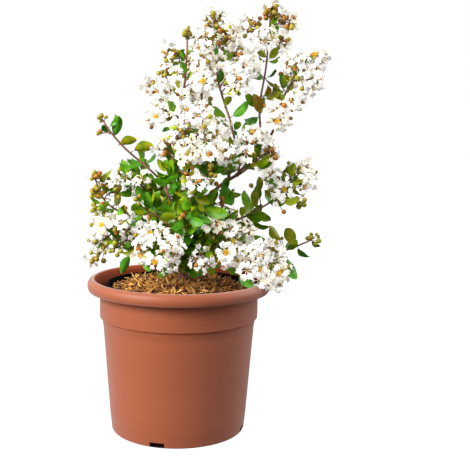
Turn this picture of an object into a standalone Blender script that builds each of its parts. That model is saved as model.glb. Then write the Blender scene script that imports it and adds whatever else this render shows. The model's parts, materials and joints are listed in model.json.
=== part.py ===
"""A white-flowered crape myrtle in a terracotta-coloured plastic pot.

The plant is a shrub with one short trunk. Boughs leave the trunk and each other, and each bough ends
where a leafy, flowering shoot begins. A shoot is one fused solid: a stem with pairs of leaves, and twigs
that end in heads of blooms and round buds. The pot holds a thin black growing pot, and that holds the root
ball under its mulch. Lengths are metres, and only the two tables of boughs and shoots are in the
centimetres that they were measured in. The origin is the middle of the pot's flat underside, and the
plant is seen from -Y.
"""

import math
import random
from collections import namedtuple

import bmesh
import bpy
import numpy as np
from mathutils import Matrix, Vector, noise
from mathutils.bvhtree import BVHTree

SEED = 41
GAP = 0.0003
ELBOW = 0.005
CM = 0.01
TINY = 1e-12
PARALLEL = 1e-4

# Pot
RIM_RADIUS = 0.150
RIM_WIDTH = 0.0165
RIM_HEIGHT = 0.0225
RIM_CURL = math.radians(45)
RIM_POINTS = 10
POT_HEIGHT = 0.2528
POT_FLOOR = 0.0125
BAND_RADIUS = 0.130
BAND_FOOT = 0.190
BODY_TOP_RADIUS = 0.1243
BASE_RADIUS = 0.1095
WALL = 0.0026
LIP_TUCK = 0.002
SHOULDER_INSIDE = 0.014
SHOULDER_OUTSIDE = 0.016
POT_STEPS = 36
DRAIN_COUNT = 4
DRAIN_BEARING = math.radians(-17.5)
DRAIN_WIDTH = 0.0245
DRAIN_HEIGHT = 0.0085
DRAIN_DEPTH = 0.012

# Breaks in the pot's side: (how far out or in, how far down or up) from the band's foot and the base's edge
BAND_STEP = (0.0015, 0.004)
LOW_SIDE = (0.004, 0.030)
FOOT_EDGE = (0.0012, 0.003)

# Growing pot and root ball
LINER_RADIUS = 0.1180
LINER_TOP = 0.2440
LINER_BASE_RADIUS = 0.0960
LINER_WALL = 0.0016
LINER_BEAD = 0.0012
LINER_BEAD_HEIGHT = 0.004
LINER_BEAD_SLOPE = 0.001
LINER_STEPS = 28
MULCH_EDGE = 0.2300
MULCH_TOP = 0.2440
MULCH_FLAT = 0.028
MULCH_BUMP = 0.006
MULCH_GRAIN = 50
MULCH_ROUGH_FROM = 1.05
MULCH_ROUGH_TO = 0.98
MULCH_RINGS = 4
MULCH_STEPS = 28

# Trunk: (height over its foot, radius) from the root flare to the tip
TRUNK_FOOT = (0.007, 0.012)
TRUNK_LEAN = (0.000, -0.004)
TRUNK_TAPER = (
    (0.0, 0.0115),
    (0.006, 0.0088),
    (0.016, 0.0074),
    (0.035, 0.0067),
    (0.065, 0.0058),
    (0.092, 0.0048),
    (0.116, 0.0040),
)

# Limbs: a limb over this radius gets the finer section
THICK_LIMB = 0.005
THICK_SIDES = 3
THIN_SIDES = 1
SPANS = 2
MANY_POINTS = 3

# A leaf's size, and its width, widest place, thickness and droop as shares of its length
LEAF_LENGTH = 0.039
LEAF_WIDTH = 0.60
LEAF_WIDEST = 0.46
LEAF_THICKNESS = 0.030
LEAF_DROOP = 0.18

# Leaves up a stem: the part of it that they cover, the turn from pair to pair in degrees, and how they vary
LEAVES_FROM = 0.08
LEAVES_RUN = 0.90
PAIR_TURN = 95
LEAF_SPREAD = (0.85, 1.15)
LEAF_LIFT = (0.2, 0.7)
LEAF_RISE = (-0.2, 0.25)
LEAF_FACE = 0.4
NUDGES = (0.0, 0.35, -0.35, 0.8, -0.8)

# Leaves on a head's twig
TWIG_LEAF_PLACES = (0.35, 0.75)
TWIG_LEAF_SPREAD = (0.7, 0.95)
TWIG_LEAF_LIFT = 0.3
TWIG_LEAF_TURNS = (0.0, 1.3, 2.6, 3.9, 5.2)
SHORT_TWIG = 0.038

# Heads of blooms and buds: reaches and shares are of the head's own size and numbers
BLOOM_RADIUS = 0.0170
BLOOM_RUFFLE = 0.0018
BLOOM_DEPTH = 0.0042
BLOOM_REACH = 0.70
BLOOM_SHARE = 0.62
BUD_RADIUS = 0.0034
BUD_REACH = 0.95
BUD_SHARE = 0.4
HEAD_LEAN = 0.5
HEAD_UP = (0.0, 0.3, 1.0)
HEAD_TRIES = 14
HEAD_COVER = 1.7
HEAD_STEP = 0.37
HEAD_FIRST = 0.3
GOLDEN_ANGLE = math.radians(137.5)

# Stems, twigs and stalks
STEM_RADIUS = 0.0021
TIP_RADIUS = 0.0014
STEM_UP = (0.31, 0.95, 0.1)
TWIG_RADIUS = 0.0013
TWIG_TIP_RADIUS = 0.0009
TWIG_ROOT = 0.0015
STALK_RADIUS = 0.0008
STALK_SPACING = 0.0028
STALK_RUN = 0.6

# Where a twig may leave its stem, in steps of its length, and what it costs to lean back on the way out
TWIG_STEPS = 20
TWIG_FIRST_STEP = 3
TWIG_AHEAD = 0.5
TWIG_COST = 0.4

# A shoot's own space: how far it reaches from its stem, twigs and heads, and the clearance that it leaves
STEM_SPACE = 0.022
TWIG_SPACE = 0.010
HEAD_SPACE = BLOOM_RADIUS * 0.4
SPACE_MARGIN = 0.0012
LIMB_MARGIN = 0.0010
SAMPLE_STEP = 0.0025
MULCH_CLEAR = 0.0045
LIP_CLEAR = 0.0020
LOWEST_LEAF = POT_HEIGHT * 0.8

# How a shoot's pieces are fused, and the angle in radians under which its faces count as flat
UNION_SOLVER = "MANIFOLD"
FLAT_ANGLE = 0.005

Bough = namedtuple("Bough", "name parent share radius via")
Head = namedtuple("Head", "x y z size blooms buds")
Shoot = namedtuple("Shoot", "name carrier stem pairs turn heads")

# Each bough: what it grows from, how far along that, its radius at the foot, and the points that it passes.
# It ends at the foot of the shoot of the same name in SHOOTS.
BOUGHS = (
    Bough("tall_left", "trunk", 1.00, 0.30, ((0.9, 0.4, 41.0), (0.3, 1.7, 46.5))),
    Bough("right_branch", "trunk", 0.93, 0.35, ((3.0, 0.0, 37.2), (6.6, -0.2, 40.6))),
    Bough("tall_centre", "right_branch", 0.80, 0.22, ((8.6, 0.6, 43.8),)),
    Bough("tall_right", "right_branch", 0.93, 0.23, ((11.2, 1.2, 44.4), (12.7, 2.2, 46.8))),
    Bough("right_shoulder", "tall_right", 0.45, 0.19, ((14.3, 3.6, 47.6), (15.6, 3.0, 50.2))),
    Bough("left_flank", "tall_left", 0.60, 0.21, ((0.3, 4.0, 46.6),)),
    Bough("centre_upper", "tall_left", 0.22, 0.22, ((1.2, -1.6, 41.6),)),
    Bough("centre_left", "trunk", 0.86, 0.22, ((0.3, -2.6, 38.4),)),
    Bough("centre_right", "right_branch", 0.14, 0.22, ((3.2, -2.6, 38.8),)),
    Bough("left_long", "trunk", 0.78, 0.21, ((-1.2, 1.0, 36.6),)),
    Bough("left_mid", "left_long", 0.45, 0.18, ((-1.9, 3.4, 36.6),)),
    Bough("left_buds", "trunk", 0.62, 0.24, ((-2.6, 2.0, 33.6),)),
    Bough("left_low", "trunk", 0.36, 0.22, ((-2.2, 1.2, 29.4),)),
    Bough("right_spray", "trunk", 0.58, 0.23, ((4.6, 2.2, 32.6),)),
    Bough("right_low_spray", "trunk", 0.40, 0.22, ((6.0, 3.4, 28.6), (11.0, 4.8, 27.9))),
    Bough("right_low", "trunk", 0.30, 0.24, ((4.6, -0.4, 28.2),)),
    Bough("back_tall", "tall_left", 0.30, 0.22, ((1.8, 3.6, 42.0), (3.0, 6.2, 46.0))),
    Bough("back_centre", "trunk", 0.88, 0.25, ((1.6, 5.0, 37.4),)),
    Bough("back_right", "back_centre", 0.80, 0.22, ((6.0, 8.0, 42.8),)),
    Bough("back_mid", "trunk", 0.68, 0.22, ((0.2, 4.6, 33.4),)),
    Bough("back_low_right", "trunk", 0.48, 0.22, ((3.0, 4.2, 29.8),)),
    Bough("back_low_left", "trunk", 0.52, 0.22, ((-1.4, 4.2, 30.4),)),
)

# Each shoot: its own bough, or how far up the trunk it grows, the points of its stem, its pairs of leaves,
# the turn of the first pair about the stem in degrees, and its flower heads with the numbers of blooms and
# of buds in each.
SHOOTS = (
    Shoot(
        "tall_right",
        "bough",
        ((13.0, 2.0, 49.5), (12.9, 2.0, 54.0), (13.8, 2.0, 60.0), (14.3, 2.0, 68.0)),
        6,
        20,
        (
            Head(14.4, 2.0, 68.6, 1.5, 1, 6),
            Head(11.3, 1.0, 66.2, 1.7, 1, 6),
            Head(17.0, 3.0, 67.1, 1.6, 1, 5),
            Head(13.3, -1.2, 64.0, 1.6, 3, 0),
            Head(16.3, 4.2, 64.0, 1.6, 2, 2),
            Head(15.2, -2.2, 51.8, 2.3, 4, 0),
        ),
    ),
    Shoot(
        "right_shoulder",
        "bough",
        ((16.0, 2.0, 52.6), (17.3, 1.6, 56.2), (19.6, 1.0, 59.4)),
        3,
        60,
        (
            Head(21.5, 2.2, 61.0, 2.1, 4, 1),
            Head(17.8, -0.8, 60.5, 1.8, 3, 3),
            Head(20.4, -2.0, 57.7, 2.1, 4, 2),
            Head(18.4, 4.4, 58.2, 1.8, 3, 2),
            Head(18.3, -0.2, 54.2, 1.5, 2, 1),
        ),
    ),
    Shoot(
        "tall_centre",
        "bough",
        ((8.9, 0.3, 46.8), (7.9, 0.0, 51.2), (6.6, 0.0, 55.0), (5.7, 0.0, 58.6), (5.3, 0.0, 66.2)),
        5,
        5,
        (
            Head(5.3, 0.0, 66.7, 1.8, 3, 5),
            Head(7.4, -2.0, 64.6, 1.5, 2, 5),
            Head(3.8, -3.0, 63.4, 1.8, 3, 0),
            Head(6.2, 3.2, 63.0, 1.8, 3, 1),
            Head(9.0, 0.8, 61.4, 1.9, 3, 2),
            Head(10.0, -2.2, 59.4, 2.0, 4, 1),
            Head(8.6, -3.2, 56.8, 2.0, 3, 1),
        ),
    ),
    Shoot(
        "tall_left",
        "bough",
        ((0.0, 2.0, 50.6), (0.3, 2.0, 54.2), (0.8, 2.0, 60.0), (0.9, 2.0, 64.2)),
        5,
        40,
        (
            Head(0.8, 2.0, 64.8, 1.2, 0, 6),
            Head(-1.4, 1.6, 61.4, 1.5, 1, 6),
            Head(3.0, 3.0, 62.0, 1.6, 3, 2),
            Head(3.6, 0.4, 59.8, 2.0, 4, 0),
            Head(3.2, -1.6, 57.2, 1.8, 3, 1),
        ),
    ),
    Shoot(
        "left_flank",
        "bough",
        ((-0.3, 5.0, 50.4), (-1.4, 5.0, 54.8), (-2.6, 5.0, 58.2)),
        3,
        70,
        (
            Head(-2.6, 5.2, 58.8, 1.5, 1, 5),
            Head(-4.4, 4.0, 56.4, 1.4, 1, 2),
            Head(-2.9, 2.6, 55.4, 1.8, 3, 0),
            Head(1.0, 6.4, 55.2, 1.7, 3, 2),
            Head(-2.4, 2.8, 52.4, 1.9, 3, 0),
            Head(-4.4, 3.0, 51.2, 1.5, 2, 0),
        ),
    ),
    Shoot(
        "centre_upper",
        "bough",
        ((1.5, -3.2, 44.6), (2.3, -4.2, 47.4), (3.0, -5.0, 50.4)),
        2,
        0,
        (
            Head(3.0, -5.2, 51.4, 2.3, 5, 0),
            Head(4.4, -6.8, 48.8, 2.0, 4, 0),
            Head(0.6, -4.8, 49.2, 1.9, 3, 3),
            Head(6.0, -3.4, 49.6, 1.8, 3, 0),
        ),
    ),
    Shoot(
        "centre_left",
        "bough",
        ((-0.3, -5.0, 41.6), (-0.8, -6.0, 44.4)),
        2,
        45,
        (
            Head(-2.0, -5.6, 46.4, 2.0, 3, 2),
            Head(1.1, -8.6, 46.0, 2.2, 5, 1),
            Head(0.4, -9.4, 43.2, 1.0, 0, 1),
        ),
    ),
    Shoot(
        "centre_right",
        "bough",
        ((3.9, -5.0, 41.4), (4.8, -6.2, 44.0)),
        2,
        30,
        (
            Head(4.4, -8.4, 45.4, 1.8, 3, 1),
            Head(6.8, -6.4, 45.6, 1.8, 3, 0),
            Head(4.8, -9.0, 42.8, 1.0, 0, 2),
        ),
    ),
    Shoot(
        "right_branch",
        "bough",
        ((9.8, -1.6, 42.8), (11.6, -2.0, 44.2), (13.2, -1.6, 45.6)),
        3,
        10,
        (
            Head(11.1, -2.8, 48.0, 2.1, 4, 0),
            Head(13.0, -0.6, 47.6, 1.8, 3, 0),
            Head(14.2, -1.6, 46.0, 1.5, 1, 6),
            Head(10.2, -4.8, 45.4, 1.3, 1, 4),
        ),
    ),
    Shoot(
        "inner_front",
        0.95,
        ((1.2, -1.6, 36.2), (1.8, -5.0, 38.8), (2.2, -7.8, 40.4)),
        4,
        35,
        (Head(2.3, -9.6, 41.4, 1.2, 2, 0),),
    ),
    Shoot(
        "right_spray",
        "bough",
        ((9.0, 3.0, 34.3), (11.8, 3.5, 35.6), (16.0, 3.5, 38.2), (18.6, 3.5, 41.8)),
        5,
        15,
        (
            Head(18.8, 3.5, 42.8, 1.5, 0, 6),
            Head(21.0, 4.6, 42.6, 1.9, 3, 0),
            Head(20.0, 1.6, 40.6, 1.6, 2, 3),
            Head(16.4, 0.8, 39.4, 1.3, 2, 0),
            Head(15.6, 5.8, 41.4, 1.5, 2, 2),
            Head(19.8, 1.2, 37.8, 1.4, 0, 5),
            Head(12.8, 6.0, 39.6, 1.0, 0, 1),
        ),
    ),
    Shoot(
        "right_low_spray",
        "bough",
        ((15.2, 5.0, 28.6), (18.6, 5.0, 29.3), (22.6, 5.0, 31.0)),
        4,
        80,
        (Head(22.8, 5.0, 31.2, 1.3, 0, 6), Head(17.4, 6.8, 30.4, 1.0, 0, 2)),
    ),
    Shoot(
        "left_long",
        "bough",
        (
            (-2.5, 1.0, 40.2),
            (-4.9, 0.0, 42.9),
            (-8.6, -1.0, 46.1),
            (-11.0, -2.0, 48.8),
            (-12.2, -2.0, 50.6),
        ),
        7,
        75,
        (Head(-12.4, -2.0, 51.0, 0.8, 0, 3), Head(-12.8, -2.6, 48.6, 0.8, 0, 2)),
    ),
    Shoot(
        "left_buds",
        "bough",
        ((-6.4, 2.0, 35.0), (-9.0, 2.0, 35.4), (-12.2, 1.0, 37.6), (-13.8, 0.0, 41.4)),
        4,
        20,
        (
            Head(-13.6, 0.0, 41.8, 0.9, 0, 4),
            Head(-12.0, 1.6, 40.6, 1.3, 0, 6),
            Head(-13.6, -1.6, 39.2, 1.3, 0, 6),
            Head(-10.6, 0.4, 39.6, 1.4, 1, 5),
            Head(-13.4, -1.0, 36.6, 1.3, 0, 5),
        ),
    ),
    Shoot(
        "left_mid",
        "bough",
        ((-3.4, 5.0, 38.0), (-6.0, 5.6, 39.6), (-8.6, 6.0, 41.0)),
        4,
        30,
        (
            Head(-9.2, 6.6, 41.6, 2.0, 4, 0),
            Head(-6.4, 3.4, 40.2, 1.4, 2, 1),
            Head(-7.6, 8.6, 39.4, 1.8, 3, 1),
        ),
    ),
    Shoot(
        "left_low",
        "bough",
        ((-4.8, 1.2, 29.8), (-8.6, 1.2, 31.2), (-11.6, 0.8, 33.0)),
        4,
        60,
        (
            Head(-12.2, 0.0, 33.9, 1.9, 4, 1),
            Head(-9.0, -1.8, 33.8, 1.9, 4, 1),
            Head(-12.8, 1.8, 31.0, 1.9, 3, 2),
            Head(-9.6, 4.0, 31.0, 1.4, 1, 3),
            Head(-13.6, 2.2, 28.4, 1.4, 1, 3),
            Head(-10.4, -2.2, 30.2, 1.2, 0, 3),
        ),
    ),
    Shoot(
        "front_left_low",
        0.22,
        ((-0.6, -1.0, 28.6), (-2.2, -5.0, 31.0), (-3.8, -7.2, 32.2)),
        3,
        50,
        (
            Head(-4.9, -7.0, 33.6, 2.1, 4, 0),
            Head(-2.0, -8.8, 34.0, 2.0, 4, 0),
            Head(-5.2, -7.6, 30.8, 2.0, 4, 0),
            Head(-1.4, -10.4, 31.8, 1.8, 3, 1),
            Head(-1.9, -8.4, 29.4, 1.6, 3, 0),
            Head(-4.6, -5.0, 28.8, 1.0, 0, 1),
        ),
    ),
    Shoot(
        "front_right_low",
        0.26,
        ((2.2, -1.0, 28.8), (4.0, -4.2, 30.6), (6.0, -6.0, 31.8)),
        3,
        0,
        (
            Head(5.2, -6.6, 33.8, 1.7, 2, 4),
            Head(7.8, -5.2, 33.2, 1.9, 3, 2),
            Head(3.4, -8.6, 29.6, 1.6, 3, 0),
            Head(7.4, -7.6, 30.4, 2.0, 4, 1),
            Head(9.8, -2.8, 32.8, 1.6, 2, 1),
        ),
    ),
    Shoot(
        "right_low",
        "bough",
        ((8.4, -1.6, 28.4), (11.2, -2.6, 28.6), (13.6, -3.0, 28.4)),
        3,
        25,
        (
            Head(12.4, -5.4, 29.8, 2.2, 5, 1),
            Head(11.0, -7.0, 27.9, 1.9, 4, 0),
            Head(15.2, -1.0, 29.4, 2.0, 4, 0),
            Head(16.0, -3.8, 27.0, 2.0, 4, 0),
        ),
    ),
    Shoot(
        "heart_right",
        0.55,
        ((2.4, -0.4, 32.6), (3.8, -2.0, 34.8), (4.8, -2.6, 37.6)),
        5,
        0,
        (Head(6.6, -1.8, 38.0, 1.0, 0, 2),),
    ),
    Shoot(
        "heart_left",
        0.60,
        ((-0.6, -0.6, 33.2), (-2.8, -2.0, 35.0), (-6.0, -2.6, 37.0)),
        5,
        20,
        (Head(-6.6, -3.4, 38.2, 1.0, 0, 2),),
    ),
    Shoot(
        "front_mid",
        0.46,
        ((1.0, -1.6, 31.6), (0.8, -5.6, 34.4), (0.4, -9.8, 36.2)),
        5,
        0,
        (Head(0.4, -11.0, 36.6, 0.8, 0, 1),),
    ),
    Shoot(
        "back_tall",
        "bough",
        ((3.5, 7.2, 50.0), (3.5, 8.0, 56.0), (3.8, 8.4, 61.4)),
        3,
        10,
        (
            Head(3.9, 8.5, 62.2, 2.1, 4, 2),
            Head(1.4, 8.8, 59.2, 1.9, 3, 1),
            Head(5.8, 9.2, 58.0, 1.9, 3, 1),
            Head(3.0, 9.6, 54.4, 2.0, 4, 0),
        ),
    ),
    Shoot(
        "back_centre",
        "bough",
        ((3.0, 9.0, 41.6), (3.2, 10.4, 44.8), (3.5, 11.0, 48.2)),
        3,
        55,
        (
            Head(3.5, 11.0, 49.2, 2.2, 5, 1),
            Head(6.2, 10.6, 46.4, 2.0, 4, 0),
            Head(0.6, 11.0, 46.2, 2.0, 4, 1),
            Head(3.4, 12.8, 43.8, 1.8, 3, 1),
        ),
    ),
    Shoot(
        "back_right",
        "bough",
        ((9.4, 6.8, 42.8), (10.8, 8.2, 45.2), (11.8, 9.0, 46.8)),
        3,
        35,
        (
            Head(12.2, 9.2, 47.6, 2.0, 4, 1),
            Head(9.6, 10.4, 44.8, 1.9, 3, 1),
            Head(13.8, 7.8, 44.8, 1.8, 3, 2),
        ),
    ),
    Shoot(
        "back_mid",
        "bough",
        ((-1.0, 8.4, 35.4), (-1.8, 10.6, 37.0), (-2.8, 12.4, 38.4)),
        4,
        25,
        (Head(-3.2, 12.8, 39.0, 1.9, 4, 1), Head(0.6, 13.2, 37.6, 1.8, 3, 2)),
    ),
    Shoot(
        "back_low_right",
        "bough",
        ((5.0, 7.0, 30.8), (6.8, 9.8, 31.8), (8.4, 12.0, 32.6)),
        3,
        15,
        (
            Head(8.8, 12.6, 33.4, 2.0, 4, 1),
            Head(5.0, 12.4, 32.4, 1.9, 3, 1),
            Head(11.4, 9.8, 32.0, 1.9, 3, 2),
        ),
    ),
    Shoot(
        "back_low_left",
        "bough",
        ((-4.0, 7.0, 31.4), (-6.0, 9.2, 32.4), (-8.0, 11.0, 33.4)),
        3,
        40,
        (
            Head(-8.6, 11.4, 34.2, 2.0, 4, 1),
            Head(-5.0, 12.0, 33.0, 1.9, 3, 1),
            Head(-10.2, 8.4, 32.0, 1.8, 3, 2),
        ),
    ),
)


def clear_scene():
    for obj in list(bpy.data.objects):
        bpy.data.objects.remove(obj, do_unlink=True)


def new_collection(name):
    made = bpy.data.collections.new(name)
    bpy.context.scene.collection.children.link(made)
    return made


def material(name, colour, roughness):
    made = bpy.data.materials.new(name)
    made.use_nodes = True
    shader = made.node_tree.nodes["Principled BSDF"]
    shader.inputs["Base Color"].default_value = (*colour, 1.0)
    shader.inputs["Roughness"].default_value = roughness
    made.diffuse_color = (*colour, 1.0)
    return made


def add_object(name, data, home, finish=None):
    obj = bpy.data.objects.new(name, data)
    if finish:
        data.materials.append(finish)
    home.objects.link(obj)
    return obj


def applied(obj):
    """The object, with its modifiers made part of its mesh."""
    bpy.context.view_layer.update()
    graph = bpy.context.evaluated_depsgraph_get()
    mesh = bpy.data.meshes.new_from_object(obj.evaluated_get(graph))
    obj.modifiers.clear()
    obj.data = mesh
    return obj


def turned(name, profile, steps, home, finish):
    """A solid of revolution. The profile is (radius, height) points that run down the outer side."""
    bm = bmesh.new()
    verts = [bm.verts.new((radius, 0.0, height)) for radius, height in profile]
    for first, second in zip(verts, verts[1:]):
        bm.edges.new((first, second))
    mesh = bpy.data.meshes.new(name)
    bm.to_mesh(mesh)
    bm.free()
    obj = add_object(name, mesh, home, finish)
    screw = obj.modifiers.new("Turn", "SCREW")
    screw.steps = steps
    screw.render_steps = steps
    screw.use_merge_vertices = True
    screw.merge_threshold = 1e-5
    screw.use_smooth_shade = True
    return obj


def rim_oval():
    """The rolled lip's section, from its innermost point over the top to its outer foot."""
    sweep = math.pi + RIM_CURL
    for step in range(RIM_POINTS + 1):
        angle = math.pi - sweep * step / RIM_POINTS
        across = RIM_RADIUS - RIM_WIDTH / 2 * (1 - math.cos(angle))
        yield across, POT_HEIGHT - RIM_HEIGHT / 2 * (1 - math.sin(angle))


def pot_profile():
    """Up the inside from the floor, over the lip, then down the band, its step and the tapering side."""
    under_lip = POT_HEIGHT - RIM_HEIGHT + LIP_TUCK
    return (
        [(0.0, POT_FLOOR), (BASE_RADIUS - WALL, POT_FLOOR)]
        + [(BODY_TOP_RADIUS - WALL, BAND_FOOT - SHOULDER_INSIDE), (BAND_RADIUS - WALL, BAND_FOOT)]
        + [(BAND_RADIUS - WALL, under_lip)]
        + list(rim_oval())
        + [(BAND_RADIUS, under_lip), (BAND_RADIUS, BAND_FOOT)]
        + [(BAND_RADIUS - BAND_STEP[0], BAND_FOOT - BAND_STEP[1])]
        + [(BODY_TOP_RADIUS, BAND_FOOT - SHOULDER_OUTSIDE)]
        + [(BASE_RADIUS + LOW_SIDE[0], LOW_SIDE[1]), (BASE_RADIUS + FOOT_EDGE[0], FOOT_EDGE[1])]
        + [(BASE_RADIUS, 0.0), (0.0, 0.0)]
    )


def make_pot(home, cutters, finish):
    """The outer pot, with drain notches round the edge of its flat underside."""
    pot = turned("pot", pot_profile(), POT_STEPS, home, finish)
    bm = bmesh.new()
    size = Matrix.Diagonal((2 * DRAIN_DEPTH, DRAIN_WIDTH, 2 * DRAIN_HEIGHT, 1.0))
    place = Matrix.Translation((BASE_RADIUS, 0.0, 0.0))
    for index in range(DRAIN_COUNT):
        bearing = DRAIN_BEARING + index * math.tau / DRAIN_COUNT - math.pi / 2
        bmesh.ops.create_cube(bm, size=1.0, matrix=Matrix.Rotation(bearing, 4, "Z") @ place @ size)
    mesh = bpy.data.meshes.new("drain_notches")
    bm.to_mesh(mesh)
    bm.free()
    notches = add_object("drain_notches", mesh, cutters)
    notches.hide_render = True
    notches.display_type = "WIRE"
    cut = pot.modifiers.new("Drain notches", "BOOLEAN")
    cut.operation = "DIFFERENCE"
    cut.object = notches


def make_liner(home, finish):
    """The thin growing pot that stands on the pot's floor, with a bead round its rim."""
    foot = POT_FLOOR + GAP
    bead_foot = LINER_TOP - LINER_BEAD_HEIGHT
    profile = (
        [(0.0, foot + LINER_WALL), (LINER_BASE_RADIUS - LINER_WALL, foot + LINER_WALL)]
        + [(LINER_RADIUS - LINER_WALL, LINER_TOP), (LINER_RADIUS + LINER_BEAD, LINER_TOP)]
        + [(LINER_RADIUS + LINER_BEAD, bead_foot), (LINER_RADIUS, bead_foot - LINER_BEAD_SLOPE)]
        + [(LINER_BASE_RADIUS, foot), (0.0, foot)]
    )
    turned("liner", profile, LINER_STEPS, home, finish)


def make_mulch(home, finish):
    """The root ball. Its top is domed, and uneven outside the flat patch that the trunk grows from."""
    foot = POT_FLOOR + 2 * GAP + LINER_WALL
    foot_radius = LINER_BASE_RADIUS - LINER_WALL - 2 * GAP
    slope = (LINER_RADIUS - LINER_BASE_RADIUS) / (LINER_TOP - foot)
    edge = foot_radius + slope * (MULCH_EDGE - foot)
    profile = [(0.0, MULCH_TOP)]
    for ring in range(MULCH_RINGS + 1):
        share = ring / MULCH_RINGS
        radius = MULCH_FLAT + (edge - MULCH_FLAT) * share
        profile.append((radius, MULCH_TOP + (MULCH_EDGE - MULCH_TOP) * share**2))
    profile += [(foot_radius, foot), (0.0, foot)]
    mulch = applied(turned("mulch", profile, MULCH_STEPS, home, finish))
    for vert in mulch.data.vertices:
        radius = math.hypot(vert.co.x, vert.co.y)
        rough = MULCH_FLAT * MULCH_ROUGH_FROM < radius < edge * MULCH_ROUGH_TO
        if rough and vert.co.z > MULCH_EDGE:
            vert.co.z += MULCH_BUMP * noise.noise(vert.co * MULCH_GRAIN)


def cm(point):
    return Vector(point) * CM


def smooth(points, spans):
    """A curve through the points, with so many spans between each two."""
    ends = [points[0] * 2 - points[1]] + points + [points[-1] * 2 - points[-2]]
    path = []
    for before, start, end, after in zip(ends, ends[1:], ends[2:], ends[3:]):
        for step in range(spans):
            t = step / spans
            bend = (2 * before - 5 * start + 4 * end - after) * t**2
            twist = (3 * start - before - 3 * end + after) * t**3
            path.append(0.5 * (2 * start + (end - before) * t + bend + twist))
    return path + [points[-1]]


def place_on(limb, share):
    """The point, the direction and the radius at this share of a limb's length."""
    path, radii = limb
    left = share * sum((end - start).length for start, end in zip(path, path[1:]))
    for index, (start, end) in enumerate(zip(path, path[1:])):
        length = (end - start).length
        if left <= length or index == len(path) - 2:
            break
        left -= length
    t = min(left / length, 1.0)
    radius = radii[index] + (radii[index + 1] - radii[index]) * t
    return start.lerp(end, t), (end - start).normalized(), radius


def trunk_limb():
    height = TRUNK_TAPER[-1][0]
    foot = Vector((*TRUNK_FOOT, MULCH_TOP + GAP))
    lean = Vector((*TRUNK_LEAN, 0.0))
    path = [foot + lean * (rise / height) ** 2 + Vector((0, 0, rise)) for rise, _ in TRUNK_TAPER]
    return path, [radius for _, radius in TRUNK_TAPER]


def start_on(limb, share, towards):
    """Where a limb starts, clear of the one that it leaves, and the point that it leaves by."""
    at, direction, radius = place_on(limb, share)
    if share == 1:
        return at + direction * GAP, at + direction * (GAP + ELBOW)
    out = towards - at
    out = (out - out.project(direction)).normalized()
    return at + out * (radius + GAP), at + out * (radius + GAP + ELBOW)


def grow_limbs():
    """The trunk and the boughs, each a path with a radius at each of its points."""
    limbs = {"trunk": trunk_limb()}
    ends = {shoot.name: cm(shoot.stem[0]) for shoot in SHOOTS}
    tip = STEM_RADIUS + GAP
    for bough in BOUGHS:
        via = [cm(point) for point in bough.via]
        start, elbow = start_on(limbs[bough.parent], bough.share, via[0])
        path = [start] + smooth([elbow] + via + [ends[bough.name]], SPANS)
        steps = len(path) - 1
        taper = [tip + (bough.radius * CM - tip) * (1 - step / steps) for step in range(steps + 1)]
        limbs[bough.name] = path, taper
    return limbs


def make_limb(name, limb, resolution, home, finish):
    """A tapering tube with flat ends."""
    curve = bpy.data.curves.new(name, "CURVE")
    curve.dimensions = "3D"
    curve.bevel_depth = 1.0
    curve.bevel_resolution = resolution
    curve.use_fill_caps = True
    spline = curve.splines.new("POLY")
    spline.points.add(len(limb[0]) - 1)
    for point, place, radius in zip(spline.points, *limb):
        point.co = (*place, 1.0)
        point.radius = radius
    add_object(name, curve, home, finish)


def stem_of(shoot, limbs):
    """A shoot's stem: it starts clear of the tip of its bough, or of the trunk."""
    carrier, share = limbs["trunk"], shoot.carrier
    if shoot.carrier == "bough":
        carrier, share = limbs[shoot.name], 1
    foot, elbow = start_on(carrier, share, cm(shoot.stem[0]))
    spans = 1 if len(shoot.stem) > MANY_POINTS else SPANS
    path = [foot] + smooth([elbow] + [cm(point) for point in shoot.stem[1:]], spans)
    steps = len(path) - 1
    return path, [STEM_RADIUS + (TIP_RADIUS - STEM_RADIUS) * step / steps for step in range(steps + 1)]


def twig_foot(stem, head):
    """The place on the stem that a head's twig leaves from: near the head, but back towards its foot."""
    places = [place_on(stem, step / TWIG_STEPS) for step in range(TWIG_FIRST_STEP, TWIG_STEPS)]
    costs = []
    for at, way, _ in places:
        run = head - at
        costs.append(run.length + TWIG_COST * max(0.0, TWIG_AHEAD * run.length - run.dot(way)))
    return places[costs.index(min(costs))][0]


def segment_rows(shoot, stem):
    """The segments that a shoot's own space is measured from, each as two ends and a reach."""
    rows = [(*start, *end, STEM_SPACE) for start, end in zip(stem[0], stem[0][1:])]
    for head in shoot.heads:
        centre = cm((head.x, head.y, head.z))
        rows.append((*twig_foot(stem, centre), *centre, TWIG_SPACE))
        rows.append((*centre, *centre, head.size * CM + HEAD_SPACE))
    return rows


def distance_to(points, rows):
    """The distance from each point to the surface round each segment, as an array of points by segments."""
    start, end, reach = rows[:, 0:3], rows[:, 3:6], rows[:, 6]
    run = end - start
    share = ((points[:, None] - start) * run).sum(axis=2) / np.maximum((run * run).sum(axis=1), TINY)
    nearest = start + np.clip(share, 0, 1)[..., None] * run
    return np.linalg.norm(points[:, None] - nearest, axis=2) - reach


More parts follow.
